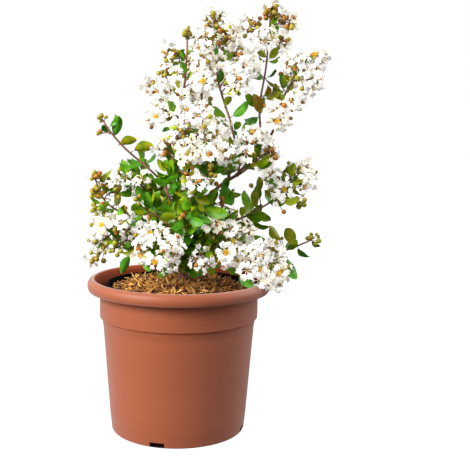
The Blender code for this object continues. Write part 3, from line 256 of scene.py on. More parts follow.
# Each shoot: what carries it, either its bough or a share of the trunk, the points of its stem, its pairs of
# leaves, the turn of the first pair about the stem in degrees, and its flower heads, each with its place, its
# size, and its numbers of blooms and of buds.
SHOOTS = (
    Shoot(
        "tall_right", "bough",
        ((13.0, 2.0, 49.5), (12.9, 2.0, 54.0), (13.8, 2.0, 60.0), (14.3, 2.0, 68.0)), 6, 20,
        ((14.4, 2.0, 68.6, 1.5, 1, 6), (11.3, 1.0, 66.2, 1.7, 1, 6), (17.0, 3.0, 67.1, 1.6, 1, 5),
         (13.3, -1.2, 64.0, 1.6, 3, 0), (16.3, 4.2, 64.0, 1.6, 2, 2), (15.2, -2.2, 51.8, 2.3, 4, 0)),
    ),
    Shoot(
        "right_shoulder", "bough", ((16.0, 2.0, 52.6), (17.3, 1.6, 56.2), (19.6, 1.0, 59.4)), 3, 60,
        ((21.5, 2.2, 61.0, 2.1, 4, 1), (17.8, -0.8, 60.5, 1.8, 3, 3), (20.4, -2.0, 57.7, 2.1, 4, 2),
         (18.4, 4.4, 58.2, 1.8, 3, 2), (18.3, -0.2, 54.2, 1.5, 2, 1)),
    ),
    Shoot(
        "tall_centre", "bough",
        ((8.9, 0.3, 46.8), (7.9, 0.0, 51.2), (6.6, 0.0, 55.0), (5.7, 0.0, 58.6), (5.3, 0.0, 66.2)), 5, 5,
        ((5.3, 0.0, 66.7, 1.8, 3, 5), (7.4, -2.0, 64.6, 1.5, 2, 5), (3.8, -3.0, 63.4, 1.8, 3, 0),
         (6.2, 3.2, 63.0, 1.8, 3, 1), (9.0, 0.8, 61.4, 1.9, 3, 2), (10.0, -2.2, 59.4, 2.0, 4, 1),
         (8.6, -3.2, 56.8, 2.0, 3, 1)),
    ),
    Shoot(
        "tall_left", "bough", ((0.0, 2.0, 50.6), (0.3, 2.0, 54.2), (0.8, 2.0, 60.0), (0.9, 2.0, 64.2)), 5, 40,
        ((0.8, 2.0, 64.8, 1.2, 0, 6), (-1.4, 1.6, 61.4, 1.5, 1, 6), (3.0, 3.0, 62.0, 1.6, 3, 2),
         (3.6, 0.4, 59.8, 2.0, 4, 0), (3.2, -1.6, 57.2, 1.8, 3, 1)),
    ),
    Shoot(
        "left_flank", "bough", ((-0.3, 5.0, 50.4), (-1.4, 5.0, 54.8), (-2.6, 5.0, 58.2)), 3, 70,
        ((-2.6, 5.2, 58.8, 1.5, 1, 5), (-4.4, 4.0, 56.4, 1.4, 1, 2), (-2.9, 2.6, 55.4, 1.8, 3, 0),
         (1.0, 6.4, 55.2, 1.7, 3, 2), (-2.4, 2.8, 52.4, 1.9, 3, 0), (-4.4, 3.0, 51.2, 1.5, 2, 0)),
    ),
    Shoot(
        "centre_upper", "bough", ((1.5, -3.2, 44.6), (2.3, -4.2, 47.4), (3.0, -5.0, 50.4)), 2, 0,
        ((3.0, -5.2, 51.4, 2.3, 5, 0), (4.4, -6.8, 48.8, 2.0, 4, 0), (0.6, -4.8, 49.2, 1.9, 3, 3),
         (6.0, -3.4, 49.6, 1.8, 3, 0)),
    ),
    Shoot(
        "centre_left", "bough", ((-0.3, -5.0, 41.6), (-0.8, -6.0, 44.4)), 2, 45,
        ((-2.0, -5.6, 46.4, 2.0, 3, 2), (1.1, -8.6, 46.0, 2.2, 5, 1), (0.4, -9.4, 43.2, 1.0, 0, 1)),
    ),
    Shoot(
        "centre_right", "bough", ((3.9, -5.0, 41.4), (4.8, -6.2, 44.0)), 2, 30,
        ((4.4, -8.4, 45.4, 1.8, 3, 1), (6.8, -6.4, 45.6, 1.8, 3, 0), (4.8, -9.0, 42.8, 1.0, 0, 2)),
    ),
    Shoot(
        "right_branch", "bough", ((9.8, -1.6, 42.8), (11.6, -2.0, 44.2), (13.2, -1.6, 45.6)), 3, 10,
        ((11.1, -2.8, 48.0, 2.1, 4, 0), (13.0, -0.6, 47.6, 1.8, 3, 0), (14.2, -1.6, 46.0, 1.5, 1, 6),
         (10.2, -4.8, 45.4, 1.3, 1, 4)),
    ),
    Shoot(
        "inner_front", 0.95, ((1.2, -1.6, 36.2), (1.8, -5.0, 38.8), (2.2, -7.8, 40.4)), 4, 35,
        ((2.3, -9.6, 41.4, 1.2, 2, 0),),
    ),
    Shoot(
        "right_spray", "bough",
        ((9.0, 3.0, 34.3), (11.8, 3.5, 35.6), (16.0, 3.5, 38.2), (18.6, 3.5, 41.8)), 5, 15,
        ((18.8, 3.5, 42.8, 1.5, 0, 6), (21.0, 4.6, 42.6, 1.9, 3, 0), (20.0, 1.6, 40.6, 1.6, 2, 3),
         (16.4, 0.8, 39.4, 1.3, 2, 0), (15.6, 5.8, 41.4, 1.5, 2, 2), (19.8, 1.2, 37.8, 1.4, 0, 5),
         (12.8, 6.0, 39.6, 1.0, 0, 1)),
    ),
    Shoot(
        "right_low_spray", "bough", ((15.2, 5.0, 28.6), (18.6, 5.0, 29.3), (22.6, 5.0, 31.0)), 4, 80,
        ((22.8, 5.0, 31.2, 1.3, 0, 6), (17.4, 6.8, 30.4, 1.0, 0, 2)),
    ),
    Shoot(
        "left_long", "bough",
        ((-2.5, 1.0, 40.2), (-4.9, 0.0, 42.9), (-8.6, -1.0, 46.1), (-11.0, -2.0, 48.8), (-12.2, -2.0, 50.6)),
        7, 75,
        ((-12.4, -2.0, 51.0, 0.8, 0, 3), (-12.8, -2.6, 48.6, 0.8, 0, 2)),
    ),
    Shoot(
        "left_buds", "bough",
        ((-6.4, 2.0, 35.0), (-9.0, 2.0, 35.4), (-12.2, 1.0, 37.6), (-13.8, 0.0, 41.4)), 4, 20,
        ((-13.6, 0.0, 41.8, 0.9, 0, 4), (-12.0, 1.6, 40.6, 1.3, 0, 6), (-13.6, -1.6, 39.2, 1.3, 0, 6),
         (-10.6, 0.4, 39.6, 1.4, 1, 5), (-13.4, -1.0, 36.6, 1.3, 0, 5)),
    ),
    Shoot(
        "left_mid", "bough", ((-3.4, 5.0, 38.0), (-6.0, 5.6, 39.6), (-8.6, 6.0, 41.0)), 4, 30,
        ((-9.2, 6.6, 41.6, 2.0, 4, 0), (-6.4, 3.4, 40.2, 1.4, 2, 1), (-7.6, 8.6, 39.4, 1.8, 3, 1)),
    ),
    Shoot(
        "left_low", "bough", ((-4.8, 1.2, 29.8), (-8.6, 1.2, 31.2), (-11.6, 0.8, 33.0)), 4, 60,
        ((-12.2, 0.0, 33.9, 1.9, 4, 1), (-9.0, -1.8, 33.8, 1.9, 4, 1), (-12.8, 1.8, 31.0, 1.9, 3, 2),
         (-9.6, 4.0, 31.0, 1.4, 1, 3), (-13.6, 2.2, 28.4, 1.4, 1, 3), (-10.4, -2.2, 30.2, 1.2, 0, 3)),
    ),
    Shoot(
        "front_left_low", 0.22, ((-0.6, -1.0, 28.6), (-2.2, -5.0, 31.0), (-3.8, -7.2, 32.2)), 3, 50,
        ((-4.9, -7.0, 33.6, 2.1, 4, 0), (-2.0, -8.8, 34.0, 2.0, 4, 0), (-5.2, -7.6, 30.8, 2.0, 4, 0),
         (-1.4, -10.4, 31.8, 1.8, 3, 1), (-1.9, -8.4, 29.4, 1.6, 3, 0), (-4.6, -5.0, 28.8, 1.0, 0, 1)),
    ),
    Shoot(
        "front_right_low", 0.26, ((2.2, -1.0, 28.8), (4.0, -4.2, 30.6), (6.0, -6.0, 31.8)), 3, 0,
        ((5.2, -6.6, 33.8, 1.7, 2, 4), (7.8, -5.2, 33.2, 1.9, 3, 2), (3.4, -8.6, 29.6, 1.6, 3, 0),
         (7.4, -7.6, 30.4, 2.0, 4, 1), (9.8, -2.8, 32.8, 1.6, 2, 1)),
    ),
    Shoot(
        "right_low", "bough", ((8.4, -1.6, 28.4), (11.2, -2.6, 28.6), (13.6, -3.0, 28.4)), 3, 25,
        ((12.4, -5.4, 29.8, 2.2, 5, 1), (11.0, -7.0, 27.9, 1.9, 4, 0), (15.2, -1.0, 29.4, 2.0, 4, 0),
         (16.0, -3.8, 27.0, 2.0, 4, 0)),
    ),
    Shoot(
        "heart_right", 0.55, ((2.4, -0.4, 32.6), (3.8, -2.0, 34.8), (4.8, -2.6, 37.6)), 5, 0,
        ((6.6, -1.8, 38.0, 1.0, 0, 2),),
    ),
    Shoot(
        "heart_left", 0.60, ((-0.6, -0.6, 33.2), (-2.8, -2.0, 35.0), (-6.0, -2.6, 37.0)), 5, 20,
        ((-6.6, -3.4, 38.2, 1.0, 0, 2),),
    ),
    Shoot(
        "front_mid", 0.46, ((1.0, -1.6, 31.6), (0.8, -5.6, 34.4), (0.4, -9.8, 36.2)), 5, 0,
        ((0.4, -11.0, 36.6, 0.8, 0, 1),),
    ),
    Shoot(
        "back_tall", "bough", ((3.5, 7.2, 50.0), (3.5, 8.0, 56.0), (3.8, 8.4, 61.4)), 3, 10,
        ((3.9, 8.5, 62.2, 2.1, 4, 2), (1.4, 8.8, 59.2, 1.9, 3, 1), (5.8, 9.2, 58.0, 1.9, 3, 1),
         (3.0, 9.6, 54.4, 2.0, 4, 0)),
    ),
    Shoot(
        "back_centre", "bough", ((3.0, 9.0, 41.6), (3.2, 10.4, 44.8), (3.5, 11.0, 48.2)), 3, 55,
        ((3.5, 11.0, 49.2, 2.2, 5, 1), (6.2, 10.6, 46.4, 2.0, 4, 0), (0.6, 11.0, 46.2, 2.0, 4, 1),
         (3.4, 12.8, 43.8, 1.8, 3, 1)),
    ),
    Shoot(
        "back_right", "bough", ((9.4, 6.8, 42.8), (10.8, 8.2, 45.2), (11.8, 9.0, 46.8)), 3, 35,
        ((12.2, 9.2, 47.6, 2.0, 4, 1), (9.6, 10.4, 44.8, 1.9, 3, 1), (13.8, 7.8, 44.8, 1.8, 3, 2)),
    ),
    Shoot(
        "back_mid", "bough", ((-1.0, 8.4, 35.4), (-1.8, 10.6, 37.0), (-2.8, 12.4, 38.4)), 4, 25,
        ((-3.2, 12.8, 39.0, 1.9, 4, 1), (0.6, 13.2, 37.6, 1.8, 3, 2)),
    ),
    Shoot(
        "back_low_right", "bough", ((5.0, 7.0, 30.8), (6.8, 9.8, 31.8), (8.4, 12.0, 32.6)), 3, 15,
        ((8.8, 12.6, 33.4, 2.0, 4, 1), (5.0, 12.4, 32.4, 1.9, 3, 1), (11.4, 9.8, 32.0, 1.9, 3, 2)),
    ),
    Shoot(
        "back_low_left", "bough", ((-4.0, 7.0, 31.4), (-6.0, 9.2, 32.4), (-8.0, 11.0, 33.4)), 3, 40,
        ((-8.6, 11.4, 34.2, 2.0, 4, 1), (-5.0, 12.0, 33.0, 1.9, 3, 1), (-10.2, 8.4, 32.0, 1.8, 3, 2)),
    ),
)

# How often a leaf has each tone: on high shoots, by the trunk, far left, on the right, and elsewhere
LEAF_TONES = ("deep", "mid", "olive", "lime", "bronze")
# By the trunk and on the right the leaves run to lighter tones, a painted light against the shade there; far left
# they run to deeper ones, a painted shade against the light that falls strongest there
TONE_AND_PAINTED_LIGHT_GROUPS = (
    ((2.2, 4, 5, 0.6, 0.2),
     ("tall_right", "right_shoulder", "tall_centre", "tall_left", "left_flank", "back_tall", "left_buds")),
    ((3.5, 5, 2.5, 1.2, 0),
     ("heart_left", "heart_right", "front_mid", "inner_front", "back_mid", "front_left_low")),
    ((5, 5, 1.5, 0, 0.4), ("left_long",)),
    ((2.5, 6, 2, 2, 0), ("right_branch", "right_spray", "right_low_spray", "right_low", "front_right_low")),
)
USUAL_TONES = (4, 5, 2.5, 0.8, 0)

# By their shoots, blooms with a bright tuft that face the front, and plain ones that fill a place
YELLOW_BLOOMS = {
    "tall_right": ((15.1, -4.2, 51.0),),
    "tall_left": ((3.4, -3.2, 57.1),),
    "right_shoulder": ((21.5, 0.8, 61.9),),
    "left_flank": ((-4.0, 1.6, 51.5),),
    "front_left_low": ((-1.2, -10.4, 32.4), (-3.7, -9.2, 29.4), (-4.6, -8.8, 33.8)),
    "centre_left": ((1.4, -10.2, 45.7),),
    "centre_right": ((4.4, -10.0, 45.9),),
    "right_low": ((12.5, -7.2, 30.1), (15.7, -5.6, 26.9)),
    "front_right_low": ((7.1, -9.4, 31.0),),
    "left_low": ((-12.4, -1.8, 33.9),),
}
PLAIN_BLOOMS = {
    "tall_left": ((0.0, -1.2, 54.6), (-1.0, -0.6, 53.2), (0.8, -1.6, 52.6), (-0.6, 0.2, 58.6)),
    "tall_centre": ((6.0, -2.2, 60.6),),
    "right_low": ((12.6, -6.4, 26.0), (13.6, -6.6, 26.8), (14.2, -6.0, 25.2), (16.0, -5.6, 25.2)),
}

# Leaves that stand out from the rest: the foot, the tip and the tone of each
PLACED_LEAVES = (
    (7.6, -1.0, 50.8, 4.8, -1.8, 52.8, "mid"), (8.0, -1.0, 51.6, 10.6, -2.0, 53.7, "deep"),
    (7.0, -0.6, 53.1, 7.7, -1.4, 55.0, "olive"), (7.9, 0.8, 49.8, 9.3, 0.2, 48.8, "deep"),
    (12.6, 1.2, 51.7, 10.2, 0.2, 49.5, "mid"), (12.8, 0.8, 51.9, 10.3, 0.0, 50.4, "deep"),
    (6.0, -2.4, 60.8, 7.0, -3.2, 62.0, "deep"), (6.0, -2.4, 60.8, 5.0, -3.2, 62.3, "deep"),
    (12.8, 1.2, 53.2, 10.5, 0.6, 55.1, "mid"), (13.4, 1.2, 57.9, 11.3, 0.6, 58.6, "mid"),
    (13.4, 1.4, 55.0, 14.6, 0.2, 56.8, "bronze"), (13.5, 1.4, 54.6, 16.0, 0.6, 55.6, "olive"),
    (-1.4, -3.4, 49.6, -2.8, -4.2, 49.5, "deep"), (-2.2, -4.6, 49.5, -0.6, -5.4, 49.9, "lime"),
    (-10.6, -1.6, 48.0, -9.8, -1.8, 51.3, "deep"), (-11.3, -1.2, 48.6, -12.4, -2.0, 49.9, "deep"),
    (-9.9, -1.4, 46.8, -7.2, -1.8, 48.4, "olive"), (-7.7, -1.2, 45.9, -4.3, -2.0, 47.4, "olive"),
    (0.3, -11.0, 37.1, 1.5, -11.8, 39.7, "mid"), (-0.1, -10.8, 36.6, -3.0, -11.6, 36.5, "lime"),
    (-0.5, -10.0, 37.0, -3.5, -10.8, 37.9, "mid"), (0.9, -10.8, 36.4, 3.4, -11.6, 35.5, "deep"),
    (2.5, -8.4, 36.8, 4.4, -9.2, 35.5, "deep"), (3.3, -7.0, 37.5, 7.1, -7.8, 36.5, "mid"),
    (8.9, -2.0, 36.6, 8.0, -2.8, 34.5, "mid"), (6.6, -3.0, 34.2, 6.0, -3.8, 35.8, "deep"),
    (0.1, -6.0, 41.9, -2.0, -6.8, 43.0, "mid"), (0.9, -5.5, 42.3, -1.5, -6.3, 43.6, "deep"),
    (8.0, -1.2, 50.1, 6.7, -2.0, 50.5, "bronze"), (7.0, -1.0, 41.2, 7.9, -2.4, 37.3, "deep"),
    (12.0, -0.8, 36.9, 9.6, -1.6, 39.5, "mid"), (9.9, -0.6, 35.2, 10.3, -1.4, 37.2, "lime"),
    (11.8, 0.2, 32.6, 13.8, -0.6, 31.4, "mid"), (19.6, 3.4, 30.0, 17.9, 2.6, 33.3, "olive"),
    (17.4, 3.6, 30.9, 14.9, 2.8, 33.3, "olive"), (-7.6, -6.4, 30.1, -9.1, -7.0, 27.6, "deep"),
    (9.2, -6.0, 27.2, 11.3, -7.4, 25.2, "deep"), (-5.4, -3.6, 37.2, -7.9, -4.0, 37.2, "mid"),
    (0.2, -0.4, 52.2, -2.1, -1.6, 53.6, "mid"), (0.4, -0.4, 52.0, 2.0, -1.6, 53.2, "olive"),
    (-11.2, -0.8, 38.0, -12.9, -1.6, 36.6, "mid"), (13.9, 1.2, 61.1, 12.1, 0.2, 62.9, "olive"),
    (14.0, 1.2, 60.9, 15.4, 0.2, 62.6, "olive"), (13.4, 1.2, 57.7, 11.2, 0.2, 58.8, "deep"),
    (14.4, 1.0, 64.7, 15.3, 0.0, 66.3, "deep"), (0.7, -0.4, 58.0, 0.1, -1.4, 59.9, "mid"),
    (0.9, -0.4, 57.5, 2.0, -1.4, 58.5, "olive"), (6.8, -3.4, 55.1, 9.6, -4.4, 56.3, "olive"),
    (8.5, -1.2, 49.3, 9.3, -2.2, 51.0, "mid"), (17.4, -3.6, 29.4, 18.1, -4.6, 25.7, "deep"),
    (16.2, 0.0, 38.9, 19.2, -0.8, 37.5, "olive"), (7.4, -5.0, 28.1, 9.1, -5.8, 26.8, "mid"),
    (-5.8, -5.0, 29.3, -4.8, -5.8, 27.4, "deep"), (-10.0, -1.0, 37.2, -9.4, -1.8, 35.4, "mid"),
)

# Buds that stand out: place and tone
PLACED_BUDS = (
    ((0.4, -11.8, 36.9), "rust"), ((5.7, -4.0, 41.1), "rust"), ((-2.4, -1.0, 60.3), "lime"),
    ((17.6, 0.0, 66.0), "lime"), ((5.8, -3.0, 63.0), "rust"), ((17.0, -0.6, 36.4), "rust"),
    ((-10.0, -3.0, 29.4), "lime"), ((-11.6, -3.0, 31.2), "lime"),
)

# Shoots whose buds are still green, so that few are rust
GREEN_BUDS = ("left_buds", "left_low", "left_long", "right_spray", "right_low_spray")

# How many short leafy twigs a bough has
BOUGH_TWIGS = {
    "right_branch": 3, "right_spray": 5, "left_long": 1, "tall_centre": 2,
    "tall_right": 2, "tall_left": 2,
}

# Shoots whose leafy twigs hang down over the mulch
LOW_SHOOTS = ("front_left_low", "front_right_low", "right_low")

# How each shoot is clothed: the share of its leaves that it keeps and their size, its blooms and buds for each
# one in its heads' numbers, and how many short leafy twigs it has
Habit = namedtuple("Habit", "leaves size blooms buds twigs")
USUAL = Habit(1.0, 0.9, 1.3, 1.5, 4)
HABITS = {
    "tall_right": Habit(0.8, 0.78, 1.5, 1.8, 0),
    "right_shoulder": Habit(0.7, 0.78, 1.35, 1.8, 1),
    "tall_centre": Habit(0.5, 0.85, 1.45, 2.0, 1),
    "tall_left": Habit(0.7, 0.74, 1.8, 2.0, 1),
    "left_flank": Habit(0.7, 0.70, 1.4, 1.9, 1),
    "centre_upper": Habit(0.5, 0.75, 1.1, 2.2, 1),
    "centre_left": Habit(1.0, 0.9, 1.15, 1.8, 5),
    "centre_right": Habit(1.0, 0.9, 1.1, 1.8, 6),
    "right_branch": Habit(1.0, 0.95, 1.3, 2.1, 3),
    "inner_front": Habit(1.0, 0.95, 1.3, 1.2, 8),
    "right_spray": Habit(0.9, 0.95, 1.4, 1.7, 2),
    "right_low_spray": Habit(0.45, 0.85, 1.0, 1.4, 0),
    "left_long": Habit(0.3, 0.85, 1.0, 1.2, 1),
    "left_buds": Habit(0.7, 0.8, 1.35, 1.4, 0),
    "left_mid": Habit(1.0, 0.9, 1.25, 1.4, 6),
    "left_low": Habit(1.0, 0.9, 1.0, 1.8, 5),
    "front_left_low": Habit(1.0, 0.8, 0.85, 1.6, 13),
    "front_right_low": Habit(1.0, 0.85, 0.9, 1.8, 14),
    "right_low": Habit(1.0, 0.85, 1.0, 2.0, 5),
    "heart_right": Habit(1.0, 1.0, 1.1, 1.6, 7),
    "heart_left": Habit(1.0, 1.0, 1.1, 1.6, 11),
    "front_mid": Habit(1.0, 0.92, 1.1, 0.9, 15),
    "back_tall": Habit(0.4, 0.7, 1.4, 1.6, 1),
}


# Each finish: the tones that its noise runs between, its roughness, the scale of its noise, the height of its
# bump and any settings of its own
SHINE = "Specular IOR Level"
LEAF_SHINE = (SHINE, 0.24)
POT_SHEEN = ((SHINE, 0.35), ("Sheen Weight", 0.36), ("Sheen Roughness", 0.50))
# The petals glow a little: a painted light that stands in for light shining through them
PETAL_PAINTED_GLOW = (("Emission Color", (1, 0.99, 0.97, 1)), ("Emission Strength", 0.20))
WHITE_TONES = ((0.84, 0.76, 0.56), (0.91, 0.90, 0.86), (0.93, 0.93, 0.92))
CREAM_TONES = ((0.78, 0.61, 0.28), (0.88, 0.82, 0.64), (0.92, 0.90, 0.84))
ROUGHNESS_SPREAD = 0.07
FINISHES = {
    "terracotta plastic": (((0.268, 0.061, 0.019), (0.285, 0.066, 0.021)), 0.5, 28, 0.0004, *POT_SHEEN),
    # The pot's inside is a redder copy of the terracotta without sheen: a painted shade for how the inside looks in
    # shade
    "terracotta inside": (((0.360, 0.056, 0.012), (0.390, 0.064, 0.014)), 0.7, 28, 0.0001, (SHINE, 0.2)),
    # The drain pockets are near black: a painted shadow for the shade inside the notches
    "drain pocket": (((0.012, 0.005, 0.003), (0.022, 0.009, 0.006)), 0.8, 60, 0.0001, (SHINE, 0.1)),
    "black plastic": (((0.002, 0.002, 0.002), (0.004, 0.004, 0.004)), 0.8, 60, 0.0002, (SHINE, 0.05)),
    "mulch bed": (((0.02, 0.007, 0.002), (0.08, 0.03, 0.008)), 0.9, 180, 0.001),
    "straw shred": (((0.62, 0.29, 0.050), (0.90, 0.55, 0.19)), 0.85, 220, 0.0005),
    "tan shred": (((0.37, 0.135, 0.016), (0.56, 0.235, 0.033)), 0.85, 220, 0.0005),
    "brown shred": (((0.08, 0.024, 0.004), (0.17, 0.055, 0.008)), 0.9, 220, 0.0005),
    "bark": (((0.07, 0.025, 0.012), (0.15, 0.055, 0.026), (0.27, 0.12, 0.06)), 0.75, 90, 0.0008),
    "red twig": (((0.09, 0.032, 0.014), (0.34, 0.15, 0.08)), 0.55, 45, 0.0003),
    "green twig": (((0.10, 0.11, 0.010), (0.26, 0.16, 0.02)), 0.55, 160, 0.0002),
    "leaf deep": (((0.022, 0.150, 0.004), (0.085, 0.280, 0.003)), 0.40, 90, 0.0003, LEAF_SHINE),
    "leaf mid": (((0.046, 0.225, 0.002), (0.190, 0.345, 0.003)), 0.40, 90, 0.0003, LEAF_SHINE),
    "leaf olive": (((0.090, 0.210, 0.001), (0.360, 0.300, 0.005)), 0.40, 90, 0.0003, LEAF_SHINE),
    "leaf lime": (((0.200, 0.340, 0.002), (0.360, 0.420, 0.006)), 0.40, 90, 0.0003, LEAF_SHINE),
    "leaf bronze": (((0.260, 0.110, 0.003), (0.240, 0.210, 0.004)), 0.40, 90, 0.0003, LEAF_SHINE),
    "leaf rib": (((0.26, 0.38, 0.025), (0.42, 0.48, 0.06)), 0.45, 120, 0.0002),
    "white petal": (WHITE_TONES, 0.6, 260, 0.0003, *PETAL_PAINTED_GLOW),
    "cream petal": (CREAM_TONES, 0.6, 260, 0.0003, *PETAL_PAINTED_GLOW),
    "stamen thread": (((0.55, 0.45, 0.20), (0.70, 0.60, 0.35)), 0.6, 200, 0.0001),
    "gold anther": (((0.80, 0.42, 0.010), (0.90, 0.56, 0.02)), 0.7, 300, 0.0002),
    "ochre anther": (((0.45, 0.20, 0.02), (0.65, 0.38, 0.05)), 0.7, 300, 0.0002),
    "calyx": (((0.12, 0.10, 0.005), (0.36, 0.17, 0.015)), 0.55, 200, 0.0003),
    "bud olive": (((0.22, 0.18, 0.004), (0.38, 0.26, 0.008)), 0.5, 220, 0.0003),
    "bud lime": (((0.22, 0.25, 0.005), (0.38, 0.33, 0.010)), 0.5, 220, 0.0003),
    "bud rust": (((0.27, 0.085, 0.004), (0.46, 0.19, 0.008)), 0.5, 220, 0.0003),
    "floor": (((0.04, 0.04, 0.04), (0.05, 0.05, 0.05)), 0.9, 3, 0.0001),
}

# The outer pot's noise is stretched into faint level bands
STRETCHES = {"terracotta plastic": (0.15, 0.15, 2.6)}

# The pieces that the foliage and the shreds are gathered in, and the finish of each
FOLIAGE = {
    "twigs_red": "red twig",
    "twigs_green": "green twig",
    "leaves_deep": "leaf deep",
    "leaves_mid": "leaf mid",
    "leaves_olive": "leaf olive",
    "leaves_lime": "leaf lime",
    "leaves_bronze": "leaf bronze",
    "leaf_ribs": "leaf rib",
    "petals_white": "white petal",
    "petals_warm": "cream petal",
    "stamen_threads": "stamen thread",
    "anthers_gold": "gold anther",
    "anthers_ochre": "ochre anther",
    "bloom_cups": "calyx",
    "buds_olive": "bud olive",
    "buds_lime": "bud lime",
    "buds_rust": "bud rust",
}
SHREDS = {"shreds_straw": "straw shred", "shreds_tan": "tan shred", "shreds_brown": "brown shred"}


class Heap:
    """Corners and triangles gathered into one mesh."""

    def __init__(self):
        self.corners = []
        self.faces = []
        self.count = 0

    def add(self, corners, faces):
        self.corners.append(corners)
        self.faces.append(faces + self.count)
        self.count += len(corners)

    def add_turned(self, shape, axes, place, scale=1.0):
        """Adds a shape with its X, Y and Z laid along the three rows of axes."""
        self.add(shape[0] * scale @ axes + np.array(place), shape[1])

    def joined(self):
        return np.concatenate(self.corners), np.concatenate(self.faces)

    def mesh(self, name):
        corners, faces = self.joined()
        mesh = bpy.data.meshes.new(name)
        mesh.from_pydata(corners.tolist(), [], faces.tolist())
        return mesh


def add_object(name, data):
    thing = bpy.data.objects.new(name, data)
    bpy.context.scene.collection.objects.link(thing)
    return thing


def make_piece(name, heap, finish, nodes):
    """One joined piece of the plant or pot, which stands for these nodes of the frame."""
    mesh = heap.mesh(name)
    mesh.shade_smooth()
    mesh.materials.append(finish_of(finish))
    piece = add_object(name, mesh)
    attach(piece, "root")
    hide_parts(*nodes)
    return piece


# Shapes


def grid_faces(rows, columns, closed=False):
    """Two triangles for each cell of a grid of corners, kept row by row."""
    cells = np.meshgrid(np.arange(rows - 1), np.arange(columns if closed else columns - 1), indexing="ij")
    row, column = (index.ravel() for index in cells)
    after = (column + 1) % columns
    a, b = row * columns + column, row * columns + after
    c, d = (row + 1) * columns + after, (row + 1) * columns + column
    return np.concatenate([np.stack([a, b, c], axis=1), np.stack([a, c, d], axis=1)])


def unit(rows):
    return rows / np.maximum(np.linalg.norm(rows, axis=-1, keepdims=True), 1e-12)


def tube(path, radii, sides, relief=None):
    """A tube with closed ends round a path. The relief gives each corner's share of the radius."""
    path = np.array(path)
    ways = unit(np.gradient(path, axis=0))
    side = np.array(Vector(ways[0]).orthogonal().normalized())
    angles = np.arange(sides) * math.tau / sides
    rings = np.empty((len(path), sides, 3))
    for index, (place, way) in enumerate(zip(path, ways)):
        side = unit(side - way * side.dot(way))
        across = np.cos(angles)[:, None] * side + np.sin(angles)[:, None] * np.cross(way, side)
        share = relief(index, angles)[:, None] if relief else 1
        rings[index] = place + across * radii[index] * share
    return capped(rings)


def capped(rings):
    """A solid through closed rings of corners, with a corner in the middle of each end."""
    count, sides = rings.shape[:2]
    corners = np.concatenate([rings.reshape(-1, 3), [rings[0].mean(axis=0), rings[-1].mean(axis=0)]])
    ring = np.arange(sides)
    after = (ring + 1) % sides
    last_ring = (count - 1) * sides
    first = np.stack([np.full(sides, count * sides), after, ring], axis=1)
    last = np.stack([np.full(sides, count * sides + 1), last_ring + ring, last_ring + after], axis=1)
    return corners, np.concatenate([grid_faces(count, sides, True), first, last])


def lathe(profile, steps):
    """A solid of revolution through (radius, height) points that start and end on the axis."""
    radius, height = np.array(profile).T
    angles = np.arange(steps) * math.tau / steps
    wide, high = radius[1:-1, None], np.repeat(height[1:-1, None], steps, axis=1)
    corners, faces = capped(np.stack([wide * np.cos(angles), wide * np.sin(angles), high], axis=2))
    corners[-2:, 2] = height[0], height[-1]
    return corners, faces


def rounded(points, radius, steps=4):
    """The outline with each inner corner turned into a short curve."""
    points = [np.array(point) for point in points]
    found = [points[0]]
    for before, corner, after in zip(points, points[1:], points[2:]):
        legs = before - corner, after - corner
        reach = min(radius, *(np.linalg.norm(leg) * 0.45 for leg in legs))
        start, end = (corner + unit(leg) * reach for leg in legs)
        found += bezier(start, corner, end, steps)
    return found + [points[-1]]


def bezier(start, middle, end, steps):
    """Points on a curve that leaves its start towards the middle and comes from there to its end."""
    shares = [step / steps for step in range(steps + 1)]
    return [start * (1 - t) ** 2 + middle * 2 * t * (1 - t) + end * t**2 for t in shares]


def arc(start, way, end, steps, swell=0.35):
    """A curve that leaves its start by the given way and arrives at its end."""
    return bezier(start, start + way * (end - start).length * swell, end, steps)


def frame_for(along, up):
    """Three unit vectors, as the rows of a matrix: across, up and along."""
    across = along.cross(up)
    if across.length < 1e-4:
        across = along.orthogonal()
    across.normalize()
    return np.array([across, across.cross(along) * -1, along])


def jitter(rng, reach):
    return Vector([rng.uniform(-reach, reach) for _ in range(3)])


# The plant's frame, by the rule of the CAD source


def cm(point):
    return Vector(point) * 0.01


def smooth(points, spans):
    """A curve through the points, with so many spans between each two."""
    ends = [points[0] * 2 - points[1]] + points + [points[-1] * 2 - points[-2]]
    path = []
    for before, start, end, after in zip(ends, ends[1:], ends[2:], ends[3:]):
        for step in range(spans):
            t = step / spans
            bend = (2 * before - 5 * start + 4 * end - after) * t**2
            twist = (3 * start - before - 3 * end + after) * t**3
            path.append(0.5 * (2 * start + (end - before) * t + bend + twist))
    return path + [points[-1]]


def place_on(limb, share):
    """The point, the direction and the radius at this share of a limb's length."""
    path, radii = limb
    left = share * sum((end - start).length for start, end in zip(path, path[1:]))
    for index, (start, end) in enumerate(zip(path, path[1:])):
        length = (end - start).length
        if left <= length or index == len(path) - 2:
            break
        left -= length
    t = min(left / length, 1.0)
    radius = radii[index] + (radii[index + 1] - radii[index]) * t
    return start.lerp(end, t), (end - start).normalized(), radius


def trunk_limb():
    height = TRUNK_TAPER[-1][0]
    foot, lean = Vector((*TRUNK_FOOT, MULCH_TOP + GAP)), Vector((*TRUNK_LEAN, 0.0))
    path = [foot + lean * (rise / height) ** 2 + Vector((0, 0, rise)) for rise, _ in TRUNK_TAPER]
    return path, [radius for _, radius in TRUNK_TAPER]


def start_on(limb, share, towards):
    """Where a limb starts on the one that it leaves, and the point that it leaves by."""
    at, direction, radius = place_on(limb, share)
    if share == 1:
        return at + direction * GAP, at + direction * (GAP + ELBOW)
    out = towards - at
    out = (out - out.project(direction)).normalized()
    return at + out * (radius + GAP), at + out * (radius + GAP + ELBOW)


